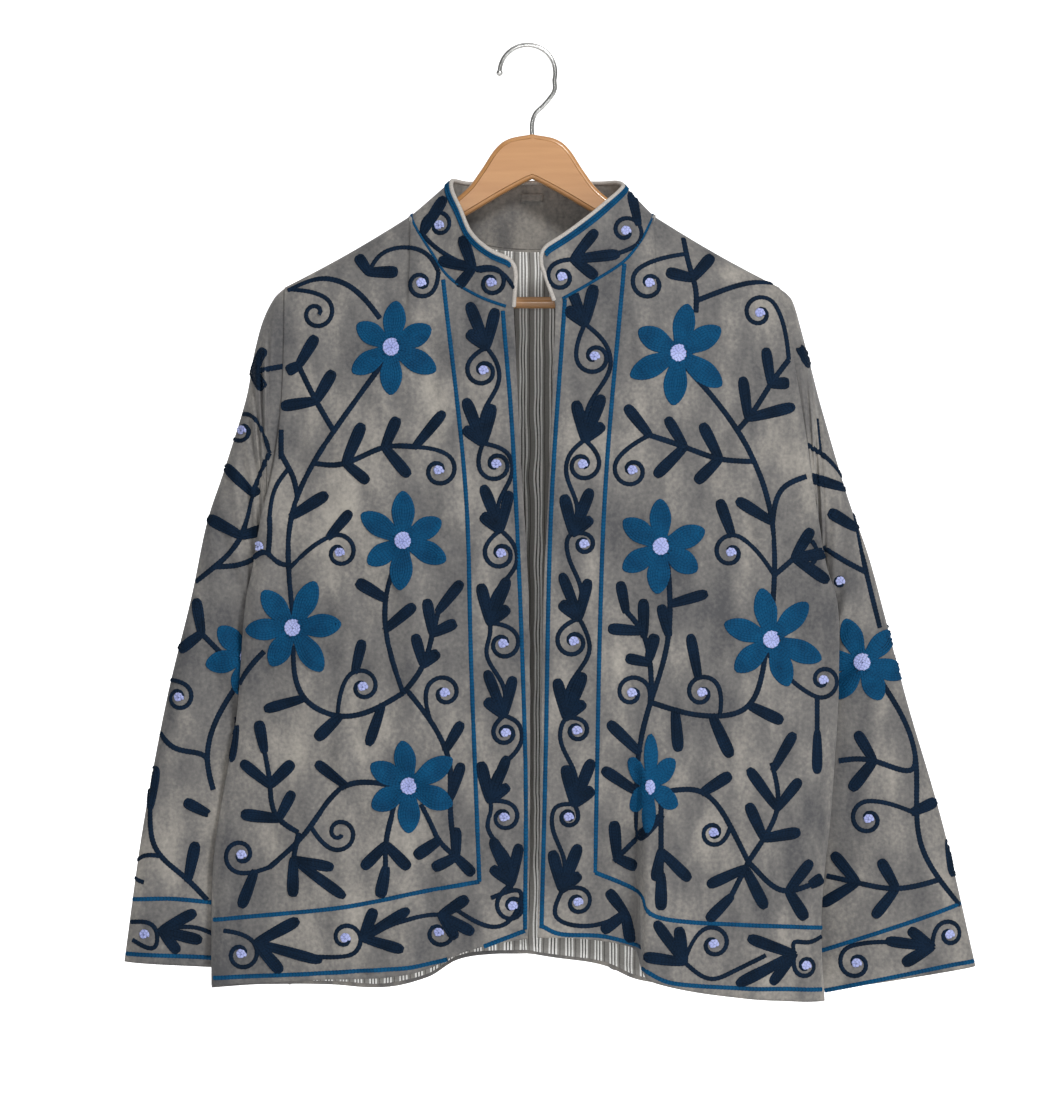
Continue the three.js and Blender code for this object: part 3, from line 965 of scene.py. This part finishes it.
def flowing(points, step):
    """Points about every step along a curve whose bend changes evenly through the given ones."""
    points = np.array(points, float)
    gaps = np.linalg.norm(np.diff(points, axis=0), axis=1)
    slopes = np.diff(points, axis=0) / gaps[:, None]
    system, turns = np.eye(len(points)), np.zeros_like(points)
    for i in range(1, len(gaps)):
        system[i, i - 1 : i + 2] = gaps[i - 1], 2 * (gaps[i - 1] + gaps[i]), gaps[i]
        turns[i] = 6 * (slopes[i] - slopes[i - 1])
    bend = np.linalg.solve(system, turns)
    run = np.r_[0, np.cumsum(gaps)]
    at = np.linspace(0, run[-1], max(3, round(run[-1] / step) + 1))
    i = np.clip(np.searchsorted(run, at) - 1, 0, len(gaps) - 1)
    gap, before, after = gaps[i, None], (at - run[i])[:, None], (run[i + 1] - at)[:, None]
    pull = (bend[i] * after * (after**2 - gap**2) + bend[i + 1] * before * (before**2 - gap**2)) / (6 * gap)
    return pull + (points[i] * after + points[i + 1] * before) / gap


def filled(base, tip, half, profile):
    """Nested loops of stitches that fill a rounded shape from its base to its tip."""
    base, tip = np.array(base, float), np.array(tip, float)
    length = float(np.linalg.norm(tip - base))
    along = (tip - base) / length
    side = np.array([-along[1], along[0]])
    half = min(half, 0.4 * length)
    loops = []
    for inset in np.arange(ROW_PITCH / 2, half, ROW_PITCH):
        p = np.linspace(inset / length, 1 - inset / length, 16)
        reach = profile("width", p) * half - inset
        p, reach = p[reach > 0], reach[reach > 0]
        if len(p) > 3:
            up = base + np.outer(p * length, along) + np.outer(reach, side)
            down = base + np.outer(p * length, along) - np.outer(reach, side)
            loops.append(np.r_[up, down[::-1]])
    return loops + [np.stack([base + 1.5 * along, tip - 0.45 * half * along])]


def disc(centre, radius):
    """A spiral row of stitches that fills a round spot."""
    turn = np.arange(0.8, 2 * math.pi * (radius - ROW_PITCH / 2) / (0.85 * ROW_PITCH), 0.35)
    reach = 0.85 * ROW_PITCH * turn / (2 * math.pi)
    return np.array(centre) + np.stack([reach * np.cos(turn), reach * np.sin(turn)], -1)


def winding(start, eye, hand):
    """A line from its start into a loop that draws in round its eye. hand is +1 for clockwise."""
    start, eye = np.array(start, float), np.array(eye, float)
    away = start - eye
    reach = max(float(np.linalg.norm(away)), 2 * CURL_END)
    loop = min(CURL_LOOP, CURL_SHARE * reach)
    entry = math.atan2(away[1], away[0]) + hand * math.acos(loop / reach)
    share = np.linspace(0, 1, 14)
    angle = entry + hand * 2 * math.pi * CURL_TURNS * share
    radius = loop + (CURL_END - loop) * share
    return np.r_[[start], eye + radius[:, None] * np.stack([np.cos(angle), np.sin(angle)], -1)]


class Embroidery:
    """Rows of chain stitch laid on a piece of cloth from in front (face -1) or behind (+1)."""

    def __init__(self, cloth, face, seed):
        mesh = cloth.data
        points = [v.co * 1000 - Vector((STEM_X, 0, 0)) for v in mesh.vertices]
        self.surface = BVHTree.FromPolygons(points, [tuple(f.vertices) for f in mesh.polygons])
        self.face = face
        self.random = np.random.default_rng(seed)
        self.rows = {"navy": [], "teal": [], "lilac": []}
        self.courses = []  # of the vines, stems and curls so far

    def rooted(self, point):
        """The nearest place on a line laid so far, where one passes close by."""
        point = np.array(point, float)
        if self.courses:
            places = np.concatenate(self.courses)
            gaps = np.linalg.norm(places - point, axis=1)
            if gaps.min() < ROOT_REACH:
                return places[gaps.argmin()]
        return point

    def grow(self, points, width):
        """A navy line through the points, which others can then sprout from."""
        apart = [points[0]]
        for point in points[1:]:
            if np.linalg.norm(np.subtract(point, apart[-1])) > 1:
                apart.append(point)
        if len(apart) > 1:
            course = flowing(apart, 2)
            self.courses.append(course)
            self.row("navy", course, width)

    def drop(self, flat):
        """Places on the cloth at (x, down), and its normals there. Off the cloth they are None."""
        heading = Vector((0, -self.face, 0))
        for x, down in flat:
            spot, normal, _, _ = self.surface.ray_cast(Vector((x, 300 * self.face, -down)), heading)
            yield (spot, normal)

    def row(self, colour, flat, width, lift=0.0):
        """A row along a line of (x, down) points, broken where the line leaves the cloth."""
        run = []
        for spot, normal in list(self.drop(evenly(flat, STITCH / len(BEAT)))) + [(None, None)]:
            if spot is not None and (not run or (spot - run[-1][0]).length < 2.5 * STITCH):
                run.append((spot, normal))
                continue
            if len(run) > 3:
                points = np.array([tuple(p) for p, _ in run])
                normals = np.array([tuple(n) for _, n in run])
                self.lay(colour, points, normals, width, lift)
            run = [] if spot is None else [(spot, normal)]

    def lay(self, colour, points, normals, width, lift=0.0):
        normals[1:-1] = unit(normals[:-2] + 2 * normals[1:-1] + normals[2:])
        across = unit(np.cross(np.gradient(points, axis=0), normals))
        beat = BEAT[np.arange(len(points)) % len(BEAT)]
        wide = beat[:, :1, None] * width / 2 * SECTION[:, :1] * across[:, None]
        tall = beat[:, 1:, None] * ROW_HEIGHT * SECTION[:, 1:] * normals[:, None]
        ground = points[:, None] + normals[:, None] * (lift - 0.05)
        run = np.r_[0, np.cumsum(np.linalg.norm(np.diff(points, axis=0), axis=1))]
        u, v = np.meshgrid(run / 1000, SECTION[:, 0] / 2, indexing="ij")
        self.rows[colour].append((ground + wide + tall, np.stack([u, v], -1)))

    def motif(self, kind, points, extra):
        """Lays one motif. A leaf's base is the first point, and a curl ends in a lilac dot."""
        if kind in ("vine", "stem"):
            self.grow([self.rooted(points[0]), *points[1:-1], self.rooted(points[-1])], WIDTHS[kind])
        elif kind == "line":
            self.row("teal", spline(points, 4), WIDTHS["line"])
        elif kind == "leaves":
            base = self.rooted(points[0])
            for tip in points[1:]:
                self.leaf(base, tip)
        elif kind in ("curl", "coil"):
            self.grow(winding(self.rooted(points[0]), points[-1], extra), WIDTHS["stem"])
        if kind in ("curl", "dot"):
            self.row("lilac", disc(points[-1], DOT_RADIUS), WIDTHS["fill"], 0.5)
        elif kind == "flower":
            self.flower(points[0], extra)
        elif kind == "folded":
            self.flower(points[0], extra, radius=7.0, squeeze=FOLD_SQUEEZE)

    def leaf(self, base, tip):
        half = LEAF_HALF * self.random.uniform(0.92, 1.08)
        base = np.array(base) - 2.5 * unit(np.subtract(tip, base))
        for loop in filled(base, tip, half, LEAF):
            self.row("navy", loop, WIDTHS["fill"], 0.1)

    def flower(self, centre, petals, radius=8.0, squeeze=1.0):
        """Petals round a lilac disc. squeeze narrows the part of it that a fold turns away."""
        centre = np.array(centre)

        def lay(colour, line, lift):
            away = line - centre
            away[:, 0] = np.where(away[:, 0] < 0, squeeze, np.sqrt(squeeze)) * away[:, 0]
            self.row(colour, centre + away, WIDTHS["fill"], lift)

        tilt, size = petals[0]
        for turn in range(0, 360, 60):
            angle = math.radians(tilt + turn + self.random.uniform(-7, 7))
            length = size * self.random.uniform(0.9, 1.1)
            heading = np.array([math.cos(angle), -math.sin(angle)])
            half = min(PETAL_HALF, 0.28 * length) * self.random.uniform(0.94, 1.05)
            for loop in filled(centre + 4 * heading, centre + length * heading, half, PETAL):
                lay("teal", loop, 0.4)
        lay("lilac", disc(centre, radius), 1.0)

    def pieces(self, name, finishes):
        """One object for each colour that is used."""
        for colour, rows in self.rows.items():
            if rows:
                yield colour, self.piece(f"{name}_{colour}", rows, finishes[colour + "_thread"])

    def piece(self, name, rows, material):
        points, faces, uv, first = [], [], [], 0
        for section, thread_uv in rows:
            quads, _ = grid_faces(len(section), len(SECTION), False)
            faces.append(quads + first)
            faces.append(np.array([[0, 1, 2, 3]]) + first)
            faces.append(np.array([[3, 2, 1, 0]]) + first + (len(section) - 1) * len(SECTION))
            points.append(section.reshape(-1, 3))
            uv.append(thread_uv.reshape(-1, 2))
            first += section.shape[0] * section.shape[1]
        points, faces, uv = (np.concatenate(part) for part in (points, faces, uv))
        return make_mesh(name, points, faces, [material], uv=uv)


def read_motifs(text):
    """Motifs, one to a line, with those that others sprout from first.

    Each has its kind and (x, down) points. A flower has tilt:length of its petals, and a curl has
    its start, its eye and the way that it turns. A coil is a curl without a dot.
    """
    found = []
    for line in filter(None, text.splitlines()):
        kind, *words = line.split()
        points = [tuple(float(n) for n in word.split(",")) for word in words if "," in word]
        extra = [tuple(float(n) for n in word.split(":")) for word in words if ":" in word]
        found.append((kind, points, HANDS.get(words[-1], extra)))
    return sorted(found, key=lambda motif: ORDER.index(motif[0]) if motif[0] in ORDER else len(ORDER))


LEFT_FRONT = """
line -76,202 -57,378 -52,530 -45,716
line -25,229 -15.5,357 -6,600 -6,757
line -274,751 -164,739 -99,726 -45,716
line -274,801 -146,793 -84,786 -6,758
vine -210,210 -180,200 -160,205 -130,235
vine -125,270 -165,325 -205,400 -205,490
flower -120,260 30:39
flower -110,425 30:39
flower -205,500 5:41
flower -105,635 35:40
vine -170,330 -185,305 -200,275
leaves -185,305 -170,280 -215,310
leaves -200,275 -185,250 -210,280
coil -205,215 -185,230 cw
vine -185,360 -165,360 -125,345 -100,345
leaves -160,355 -145,325 -140,375
leaves -125,345 -115,320 -105,370
leaves -100,345 -75,315
curl -100,345 -80,365 cw
vine -140,200 -145,220
leaves -140,200 -150,180 -115,195
stem -140,195 -130,180 -90,180 -80,195
curl -80,195 -95,205 cw
vine -205,445 -215,445 -230,435 -240,440
vine -225,435 -225,420 -225,405
dot -235,430
vine -215,330 -215,355
vine -220,350 -210,360 -205,370 -205,385
stem -220,370 -220,380 -220,390
curl -205,450 -165,435 cw
leaves -205,405 -175,385
leaves -175,420 -155,400
vine -230,520 -250,545 -255,560 -255,585
leaves -255,585 -260,615
vine -205,515 -195,560 -165,575 -110,555
leaves -195,560 -230,570
leaves -165,575 -185,595
leaves -125,570 -140,600
curl -165,570 -145,550 cw
leaves -155,530 -145,510
vine -115,440 -125,475 -120,525 -105,555
leaves -125,475 -150,460
leaves -120,500 -100,480
vine -105,555 -95,535 -85,505 -80,485
leaves -80,485 -60,460
leaves -95,530 -100,505 -80,520
leaves -85,505 -90,475 -65,495
vine -105,555 -70,620 -70,645 -65,695
leaves -75,605 -60,580
leaves -70,645 -60,615
leaves -65,700 -65,670 -85,705 -50,710
curl -90,580 -75,555 cw
leaves -230,605 -235,580
vine -230,605 -225,635 -220,660 -200,675
leaves -225,635 -250,615 -205,615
leaves -220,665 -250,660 -205,640
vine -205,685 -205,700
vine -115,635 -160,635 -190,670 -225,705
curl -225,705 -250,695 cw
leaves -160,635 -185,615
leaves -235,720 -250,740
leaves -200,700 -205,730 -160,730 -170,705
coil -190,670 -165,675 ccw
vine -110,650 -120,660 -125,685 -125,705
leaves -125,685 -145,705 -105,705
leaves -125,705 -130,730
vine -95,650 -85,670 -80,680 -65,695
leaves -80,680 -100,695
"""

LEFT_BAND = """
unit -39,260 -42,280 1
unit -42,342 -31,360 1
unit -27,416 -27,436 1
unit -36,495 -25,513 -1
unit -24,574 -23,589 1
unit -36,647 -24,661 -1
unit -19,717 -17,737 1
"""

LEFT_HEM = """
curl -265,760 -250,780 cw
leaves -235,765 -200,750 -180,785 -215,795
curl -235,765 -160,765 ccw
leaves -145,765 -135,740 -105,740 -110,775
curl -145,765 -80,760 cw
leaves -75,735 -55,730 -65,765 -50,760
stem -65,740 -20,750 -10,725 -35,730
"""

RIGHT_FRONT = """
line 79,187 64,357 58,494 54,709
line 28,219 16,405 11.5,614 8,756
line 54,709 91,726 114,748 249,758
line 8,754 25,761.5 60,764 93,773
line 94,791 121,803 174,808 249,811
flower 125,265 25:42
flower 110,430 25:39
flower 205,510 45:43
folded 100,635 30:41
vine 130,165 135,190 140,210 140,230
vine 140,220 165,210 210,205 220,210
leaves 140,200 115,195 155,180
curl 130,180 100,205 ccw
curl 220,270 195,230 ccw
vine 130,275 175,330 205,405 205,495
vine 175,330 185,320 205,290 220,270
leaves 185,320 180,285 225,310
leaves 205,290 200,260 220,290
vine 185,360 160,355 130,345 100,335
leaves 160,355 145,325 140,375
leaves 130,345 115,320 105,370
leaves 100,335 80,310
curl 100,335 85,365 ccw
leaves 205,410 175,390
vine 210,410 215,380 235,370
curl 205,455 170,435 ccw
leaves 170,420 160,390
vine 210,455 225,440
leaves 225,440 255,460 240,415 255,435
stem 225,440 240,445 245,435 240,425
leaves 125,480 150,470
leaves 115,505 110,480
vine 115,435 115,515 95,585 90,680
vine 105,560 100,525 95,505 80,485
leaves 80,485 75,460
leaves 95,505 95,475
leaves 90,505 65,500
leaves 100,530 80,525
leaves 100,525 105,505
curl 95,585 85,555 ccw
leaves 85,605 65,580
leaves 80,640 60,620
vine 105,565 155,575 180,570 200,520
leaves 120,575 125,605
leaves 155,580 170,610
leaves 185,565 215,580
curl 160,575 145,555 ccw
leaves 140,540 135,505
curl 215,520 250,545 ccw
vine 245,560 245,590
leaves 245,590 245,625
vine 110,640 145,640 170,670 185,700
leaves 145,640 170,625
curl 170,670 155,675 cw
leaves 180,705 150,720 200,740
vine 180,705 170,730
leaves 170,730 150,750
vine 185,700 195,685 210,655 205,615
leaves 205,685 185,650 230,675
leaves 210,655 185,620 230,630
leaves 210,620 225,590
vine 185,700 190,705 215,725 240,720
leaves 220,725 240,700 235,750
leaves 240,720 250,715
vine 90,685 75,695 70,700
leaves 70,695 70,665
leaves 70,695 90,705
leaves 100,660 90,680
vine 110,650 110,665 110,690 110,710
leaves 110,690 105,715 135,715
leaves 110,710 110,740
"""

RIGHT_BAND = """
unit 45,240 53,268 1
unit 45,339 43,360 -1
unit 35,419 44,428 -1
unit 40,491 35,511 1
unit 29,576 38,587 -1
unit 36,650 31,661 -1
unit 25,723 39,734 -1
"""

RIGHT_HEM = """
stem 25,725 20,745 45,755 80,745
leaves 90,745 65,725 60,760 85,770
leaves 130,785 105,750 125,755 95,780
curl 130,785 155,770 cw
stem 130,785 155,800 170,795 200,780
leaves 220,780 185,765 175,805 205,805
stem 225,780 225,770 235,770 250,765
curl 225,785 235,790 ccw
"""

BACK_BAND = """
unit 3,236 -6,256 1
unit -3,312 6,332 -1
unit 3,388 -6,408 1
unit -3,464 6,484 -1
unit 3,540 -6,560 1
unit -3,616 6,636 -1
unit 3,692 -6,708 1
"""

LEFT_SLEEVE = """
leaves -240,280 -230,260 -230,295
vine -240,280 -210,275
curl -225,350 -250,330 ccw
vine -225,350 -240,385 -250,420 -290,460
leaves -240,385 -265,360 -235,380
leaves -250,420 -280,405 -230,415
vine -270,450 -250,445 -230,435
leaves -285,505 -290,475 -305,520
vine -285,505 -265,525
flower -245,525 10:36
curl -315,545 -305,560 cw
vine -255,550 -270,575 -280,615 -275,640
vine -325,585 -305,605 -280,615 -270,615
leaves -280,660 -300,650
leaves -325,655 -325,620
vine -330,655 -325,690 -300,715 -280,735
leaves -295,715 -290,685
stem -335,720 -345,715 -340,700 -330,705
line -348,735 -313,734 -276,737 -240,741
line -351,782 -313,783 -276,785 -240,789
dot -335,765
stem -350,755 -325,760 -325,775 -345,770
leaves -320,760 -290,745 -285,770 -305,780
stem -320,760 -285,760 -260,770 -240,765
"""

RIGHT_SLEEVE = """
leaves 230,260 240,275
vine 230,340 260,360 280,415 300,500
vine 250,345 245,320
leaves 270,380 235,370
leaves 280,415 255,400
vine 250,430 265,440 295,450
curl 265,460 265,460 cw
flower 285,530 50:38
leaves 300,520 315,505
vine 300,545 330,605 335,685 370,740
vine 340,610 330,620 295,615 265,615
leaves 295,615 280,590 275,640
leaves 325,665 350,650
curl 325,660 290,665 ccw
vine 340,725 310,725 280,720 255,715
leaves 315,725 300,700 295,750
leaves 280,720 260,695 250,740
leaves 360,685 365,715
line 240,783 253,779 300,763 372,738
line 240,817 300,804 358,792 385,788
leaves 345,775 305,770 325,760 320,790
dot 280,790
curl 345,775 360,765 cw
coil 345,775 280,790 ccw
"""

COLLAR_FRONT = """
curl -60,200 -80,155 cw
leaves -90,160 -75,130
leaves -55,200 -60,165 -80,185 -65,210
curl -50,195 -35,205 cw
stem -45,195 -30,195 -15,210
curl 35,185 80,160 ccw
leaves 35,185 55,160 75,180 55,200
curl 35,185 25,200 ccw
leaves 95,150 85,125
"""


def band_motifs(text):
    """Sprigs down a band: at each junction three leaves, a curl round a dot, a stem to the next."""
    rows = []
    for line in text.strip().splitlines():
        words = line.split()[1:]
        rows.append([float(n) for word in words for n in word.split(",")])
    for row, after in zip(rows, rows[1:] + [None]):
        at, dot, mirror = np.array(row[:2]), np.array(row[2:4]), np.array([row[4], 1])
        yield "leaves", [at] + [at + mirror * tip for tip in SPRIG_TIPS], []
        yield "curl", [at, dot], -mirror[0]
        if after is not None:
            goal = np.array(after[:2])
            wave = [dot + mirror * bend for bend in SPRIG_BENDS] + [lerp(dot, goal, 0.6)]
            yield "stem", [at, *wave, goal], []


def back_place(point):
    """Where a front motif's point goes on the back: wider, and lower towards the longer hem."""
    x, down = point
    wide = math.copysign(8 + max(abs(x) - 45, 0) * 1.17, x) if abs(x) > 45 else x * 0.2
    return wide, down + 12 * float(smoothstep((down - 560) / 200))


FRONT_MOTIFS = {-1: LEFT_FRONT + LEFT_HEM, 1: RIGHT_FRONT + RIGHT_HEM}
BANDS = {-1: LEFT_BAND, 1: RIGHT_BAND}
SLEEVE_MOTIFS = {-1: LEFT_SLEEVE, 1: RIGHT_SLEEVE}
SEEDS = {"front": 3, "collar": 5, "back": 7, "sleeve": 11}
BACK_HEM_LINES = (55, 8)  # above the back's hem
BACK_HEM_ENDS = (-268, 262)
COLLAR_LINE_END = 0.975
COLLAR_LINE_WIDTH = 3.2


def embroider_front(side, cloth):
    front = Embroidery(cloth, -1, SEEDS["front"] + side)
    for motif in [*read_motifs(FRONT_MOTIFS[side]), *band_motifs(BANDS[side])]:
        front.motif(*motif)
    return front


def repeat_on_back(side, back):
    """Lays one front's motifs on the back, without its border lines."""
    for kind, points, extra in read_motifs(FRONT_MOTIFS[side]):
        if kind != "line":
            back.motif(kind, [back_place(p) for p in points], extra)


def finish_back(back):
    """The row of sprigs down the back's middle, and the lines along its hem."""
    for motif in band_motifs(BACK_BAND):
        back.motif(*motif)
    for rise in BACK_HEM_LINES:
        x = np.linspace(*BACK_HEM_ENDS, 40)
        down = np.where(x < 0, hem_down(-1, 1, np.abs(x)), hem_down(1, 1, np.abs(x))) - rise
        back.motif("line", list(zip(x, down)), [])


def embroider_sleeve(side, face, cloth):
    sleeve = Embroidery(cloth, face, SEEDS["sleeve"] + side + 2 * face)
    for motif in read_motifs(SLEEVE_MOTIFS[side]):
        sleeve.motif(*motif)
    return sleeve


def embroider_collar(cloth):
    collar = Embroidery(cloth, -1, SEEDS["collar"])
    for motif in read_motifs(COLLAR_FRONT):
        collar.motif(*motif)
    n = np.linspace(-COLLAR_LINE_END, COLLAR_LINE_END, 640)
    for height in COLLAR_LINES:
        h = np.full(len(n), height)
        collar.lay("teal", collar_point(n, h), collar_normal(n, h), COLLAR_LINE_WIDTH)
    return collar


def embroider(cloth, finishes):
    """All embroidery, as a list of (node, colour, object)."""
    work = []

    def sew(node, sewn, label):
        work.extend((node, *piece) for piece in sewn.pieces(label, finishes))

    back = Embroidery(cloth["back"], 1, SEEDS["back"])
    for side in (-1, 1):
        node = side_name(side) + "_front"
        sew(node, embroider_front(side, cloth[node]), node)
        repeat_on_back(side, back)
        node = side_name(side) + "_sleeve"
        for face, label in ((-1, node), (1, node + "_rear")):
            sew(node, embroider_sleeve(side, face, cloth[node]), label)
    finish_back(back)
    sew("back", back, "back")
    sew("collar", embroider_collar(cloth["collar"]), "collar")
    return work


# The scene


SLEEVE_EDGE = 0.3  # share of the cloth's thickness that a sleeve has at the armhole
SLEEVE_THICKENS = (2.5, 0.5)  # how fast, down its rings, and how late it takes the rest
SLEEVE_UNLINED_RINGS = 60  # their inside shows past the body's edge
LINING_MARGIN = (6, 8)  # rows and columns of the back that its lining leaves bare


def front_cloth(side, velvet, stripe):
    grid, keep = front_grid(side)
    name = side_name(side) + "_front_cloth"
    return shell(name, grid, CLOTH, (0, -1, 0), [velvet, stripe], flat=(keep, 1))


def sleeve_cloth(side, velvet, stripe):
    grid = sleeve_grid(side)
    row = np.arange(len(grid))[:, None]
    rate, delay = SLEEVE_THICKENS
    share = SLEEVE_EDGE + (1 - SLEEVE_EDGE) * smoothstep(row / len(grid) * rate - delay)
    return shell(
        side_name(side) + "_sleeve_cloth",
        grid,
        CLOTH * share[..., None],
        grid - grid.mean(1, keepdims=True),
        [velvet, stripe],
        wrap=True,
        flat=(np.broadcast_to(row == 0, grid.shape[:2]), 0),
        unlined=SLEEVE_UNLINED_RINGS,
    )


def back_cloths(velvet, stripe):
    """The back and its lining."""
    grid, keep = back_grid()
    rows, columns = LINING_MARGIN
    lining = grid[rows:-1, columns:-columns]
    inset = CLOTH + SEAM
    return {
        "back": shell("back_cloth", grid, CLOTH, (0, 1, 0), [velvet, velvet], flat=(keep, 1)),
        "back_lining": shell("back_lining_cloth", lining, LINING, (0, 1, 0), [stripe, stripe], inset=inset),
    }


def build_cloth(finishes):
    """The sewn pieces, by the name of the node that each stands for."""
    velvet, stripe = finishes["velvet"], finishes["stripe"]
    cloth = {}
    for side in (-1, 1):
        name = side_name(side)
        cloth[name + "_front"] = front_cloth(side, velvet, stripe)
        cloth[name + "_sleeve"] = sleeve_cloth(side, velvet, stripe)
    cloth.update(back_cloths(velvet, stripe))
    grid = collar_grid()
    cloth["collar"] = shell("collar_cloth", grid, CLOTH, grid, [velvet, velvet])
    cloth["neck_loop"] = neck_loop(velvet)
    return cloth


def build_hanger(finishes):
    wood, steel = finishes["wood"], finishes["steel"]
    path = hook_path()
    bar_x = np.array([-1, -1, -0.98, 0.98, 1, 1]) * (BAR_END - SEAM)
    bar = np.c_[bar_x, 0 * bar_x, 0 * bar_x - BAR_DOWN]
    bar_radii = np.array([0.01, 1, 1, 1, 1, 0.01]) * BAR_RADIUS
    return {
        "hanger_arms": [hanger_board(wood)],
        "trouser_bar": [tube("trouser_rail", bar, bar_radii, wood, 32)],
        "hanger_hook": [
            tube("hook_wire", path, np.full(len(path), HOOK_WIRE), steel),
            ball("hook_tip", path[0], 2.9, steel),
        ],
    }


# Name, place, size and power of each lamp
LIGHTS = (
    ("key", (1.9, -3.7, 2.5), (1.0, 1.0), 165),
    ("fill", (-0.1, -4.1, -0.3), (0.7, 0.7), 25),
    ("top", (0.0, -0.8, 2.2), (2.4, 1.4), 10),
)
WORLD_LIGHT = 0.2
WALL_TOP = 9.0
WALL_GLOW = 0.9
FLOOR_GLOW = 0.3


def area_light(name, at, size, power, target=(0, 0, -0.43)):
    data = bpy.data.lights.new(name, "AREA")
    data.shape = "RECTANGLE"
    data.size, data.size_y = size
    data.energy = power
    lamp = bpy.data.objects.new(name, data)
    lamp.location = at
    lamp.rotation_euler = (Vector(target) - Vector(at)).to_track_quat("-Z", "Y").to_euler()
    bpy.context.scene.collection.objects.link(lamp)
    return lamp


def build_stage():
    wall = bpy.data.meshes.new("wall")
    x, top = STAGE_HALF, WALL_TOP
    corners = [(-x, WALL_Y, FLOOR_Z), (x, WALL_Y, FLOOR_Z), (x, WALL_Y, top), (-x, WALL_Y, top)]
    corners += [(-x, -x, FLOOR_Z), (x, -x, FLOOR_Z)]
    wall.from_pydata(corners, [], [(0, 1, 2, 3), (4, 5, 1, 0)])
    wall.materials.append(stage_material("wall", WALL_GLOW))
    wall.materials.append(stage_material("floor", FLOOR_GLOW))
    wall.polygons[1].material_index = 1
    backdrop = bpy.data.objects.new("backdrop", wall)
    bpy.context.scene.collection.objects.link(backdrop)
    for light in LIGHTS:
        area_light(*light)
    world = bpy.data.worlds.new("world")
    world.use_nodes = True
    world.node_tree.nodes["Background"].inputs[0].default_value = (1, 1, 1, 1)
    world.node_tree.nodes["Background"].inputs[1].default_value = WORLD_LIGHT
    bpy.context.scene.world = world


def build_camera():
    data = bpy.data.cameras.new("camera")
    data.lens = LENS
    data.sensor_width = 36
    data.sensor_fit = "AUTO"
    data.clip_end = 60
    camera = bpy.data.objects.new("camera", data)
    camera.location = CAMERA_AT
    camera.rotation_euler = (math.pi / 2, 0, 0)
    bpy.context.scene.collection.objects.link(camera)
    bpy.context.scene.camera = camera
    bpy.context.scene.view_settings.view_transform = "Standard"


def main():
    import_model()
    finishes = {
        "velvet": velvet_material(),
        "stripe": stripe_material(),
        "piping": piping_material(),
        "wood": wood_material(),
        "steel": steel_material(),
        "navy_thread": thread_material("navy_thread", rgb(3, 20, 36), rgb(11, 34, 57)),
        "teal_thread": thread_material("teal_thread", rgb(2, 55, 89), rgb(7, 78, 118)),
        "lilac_thread": thread_material("lilac_thread", rgb(146, 154, 208), rgb(182, 190, 232)),
    }
    cloth = build_cloth(finishes)
    for node, piece in cloth.items():
        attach(piece, "root")
        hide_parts(node)
    work = embroider(cloth, finishes)
    for _, colour, piece in work:
        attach(piece, "root")
    edge = piping("collar_piping", finishes["piping"])
    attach(edge, "root")
    for node, pieces in build_hanger(finishes).items():
        for piece in pieces:
            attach(piece, "root")
        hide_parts(node)
    build_stage()
    build_camera()


main()
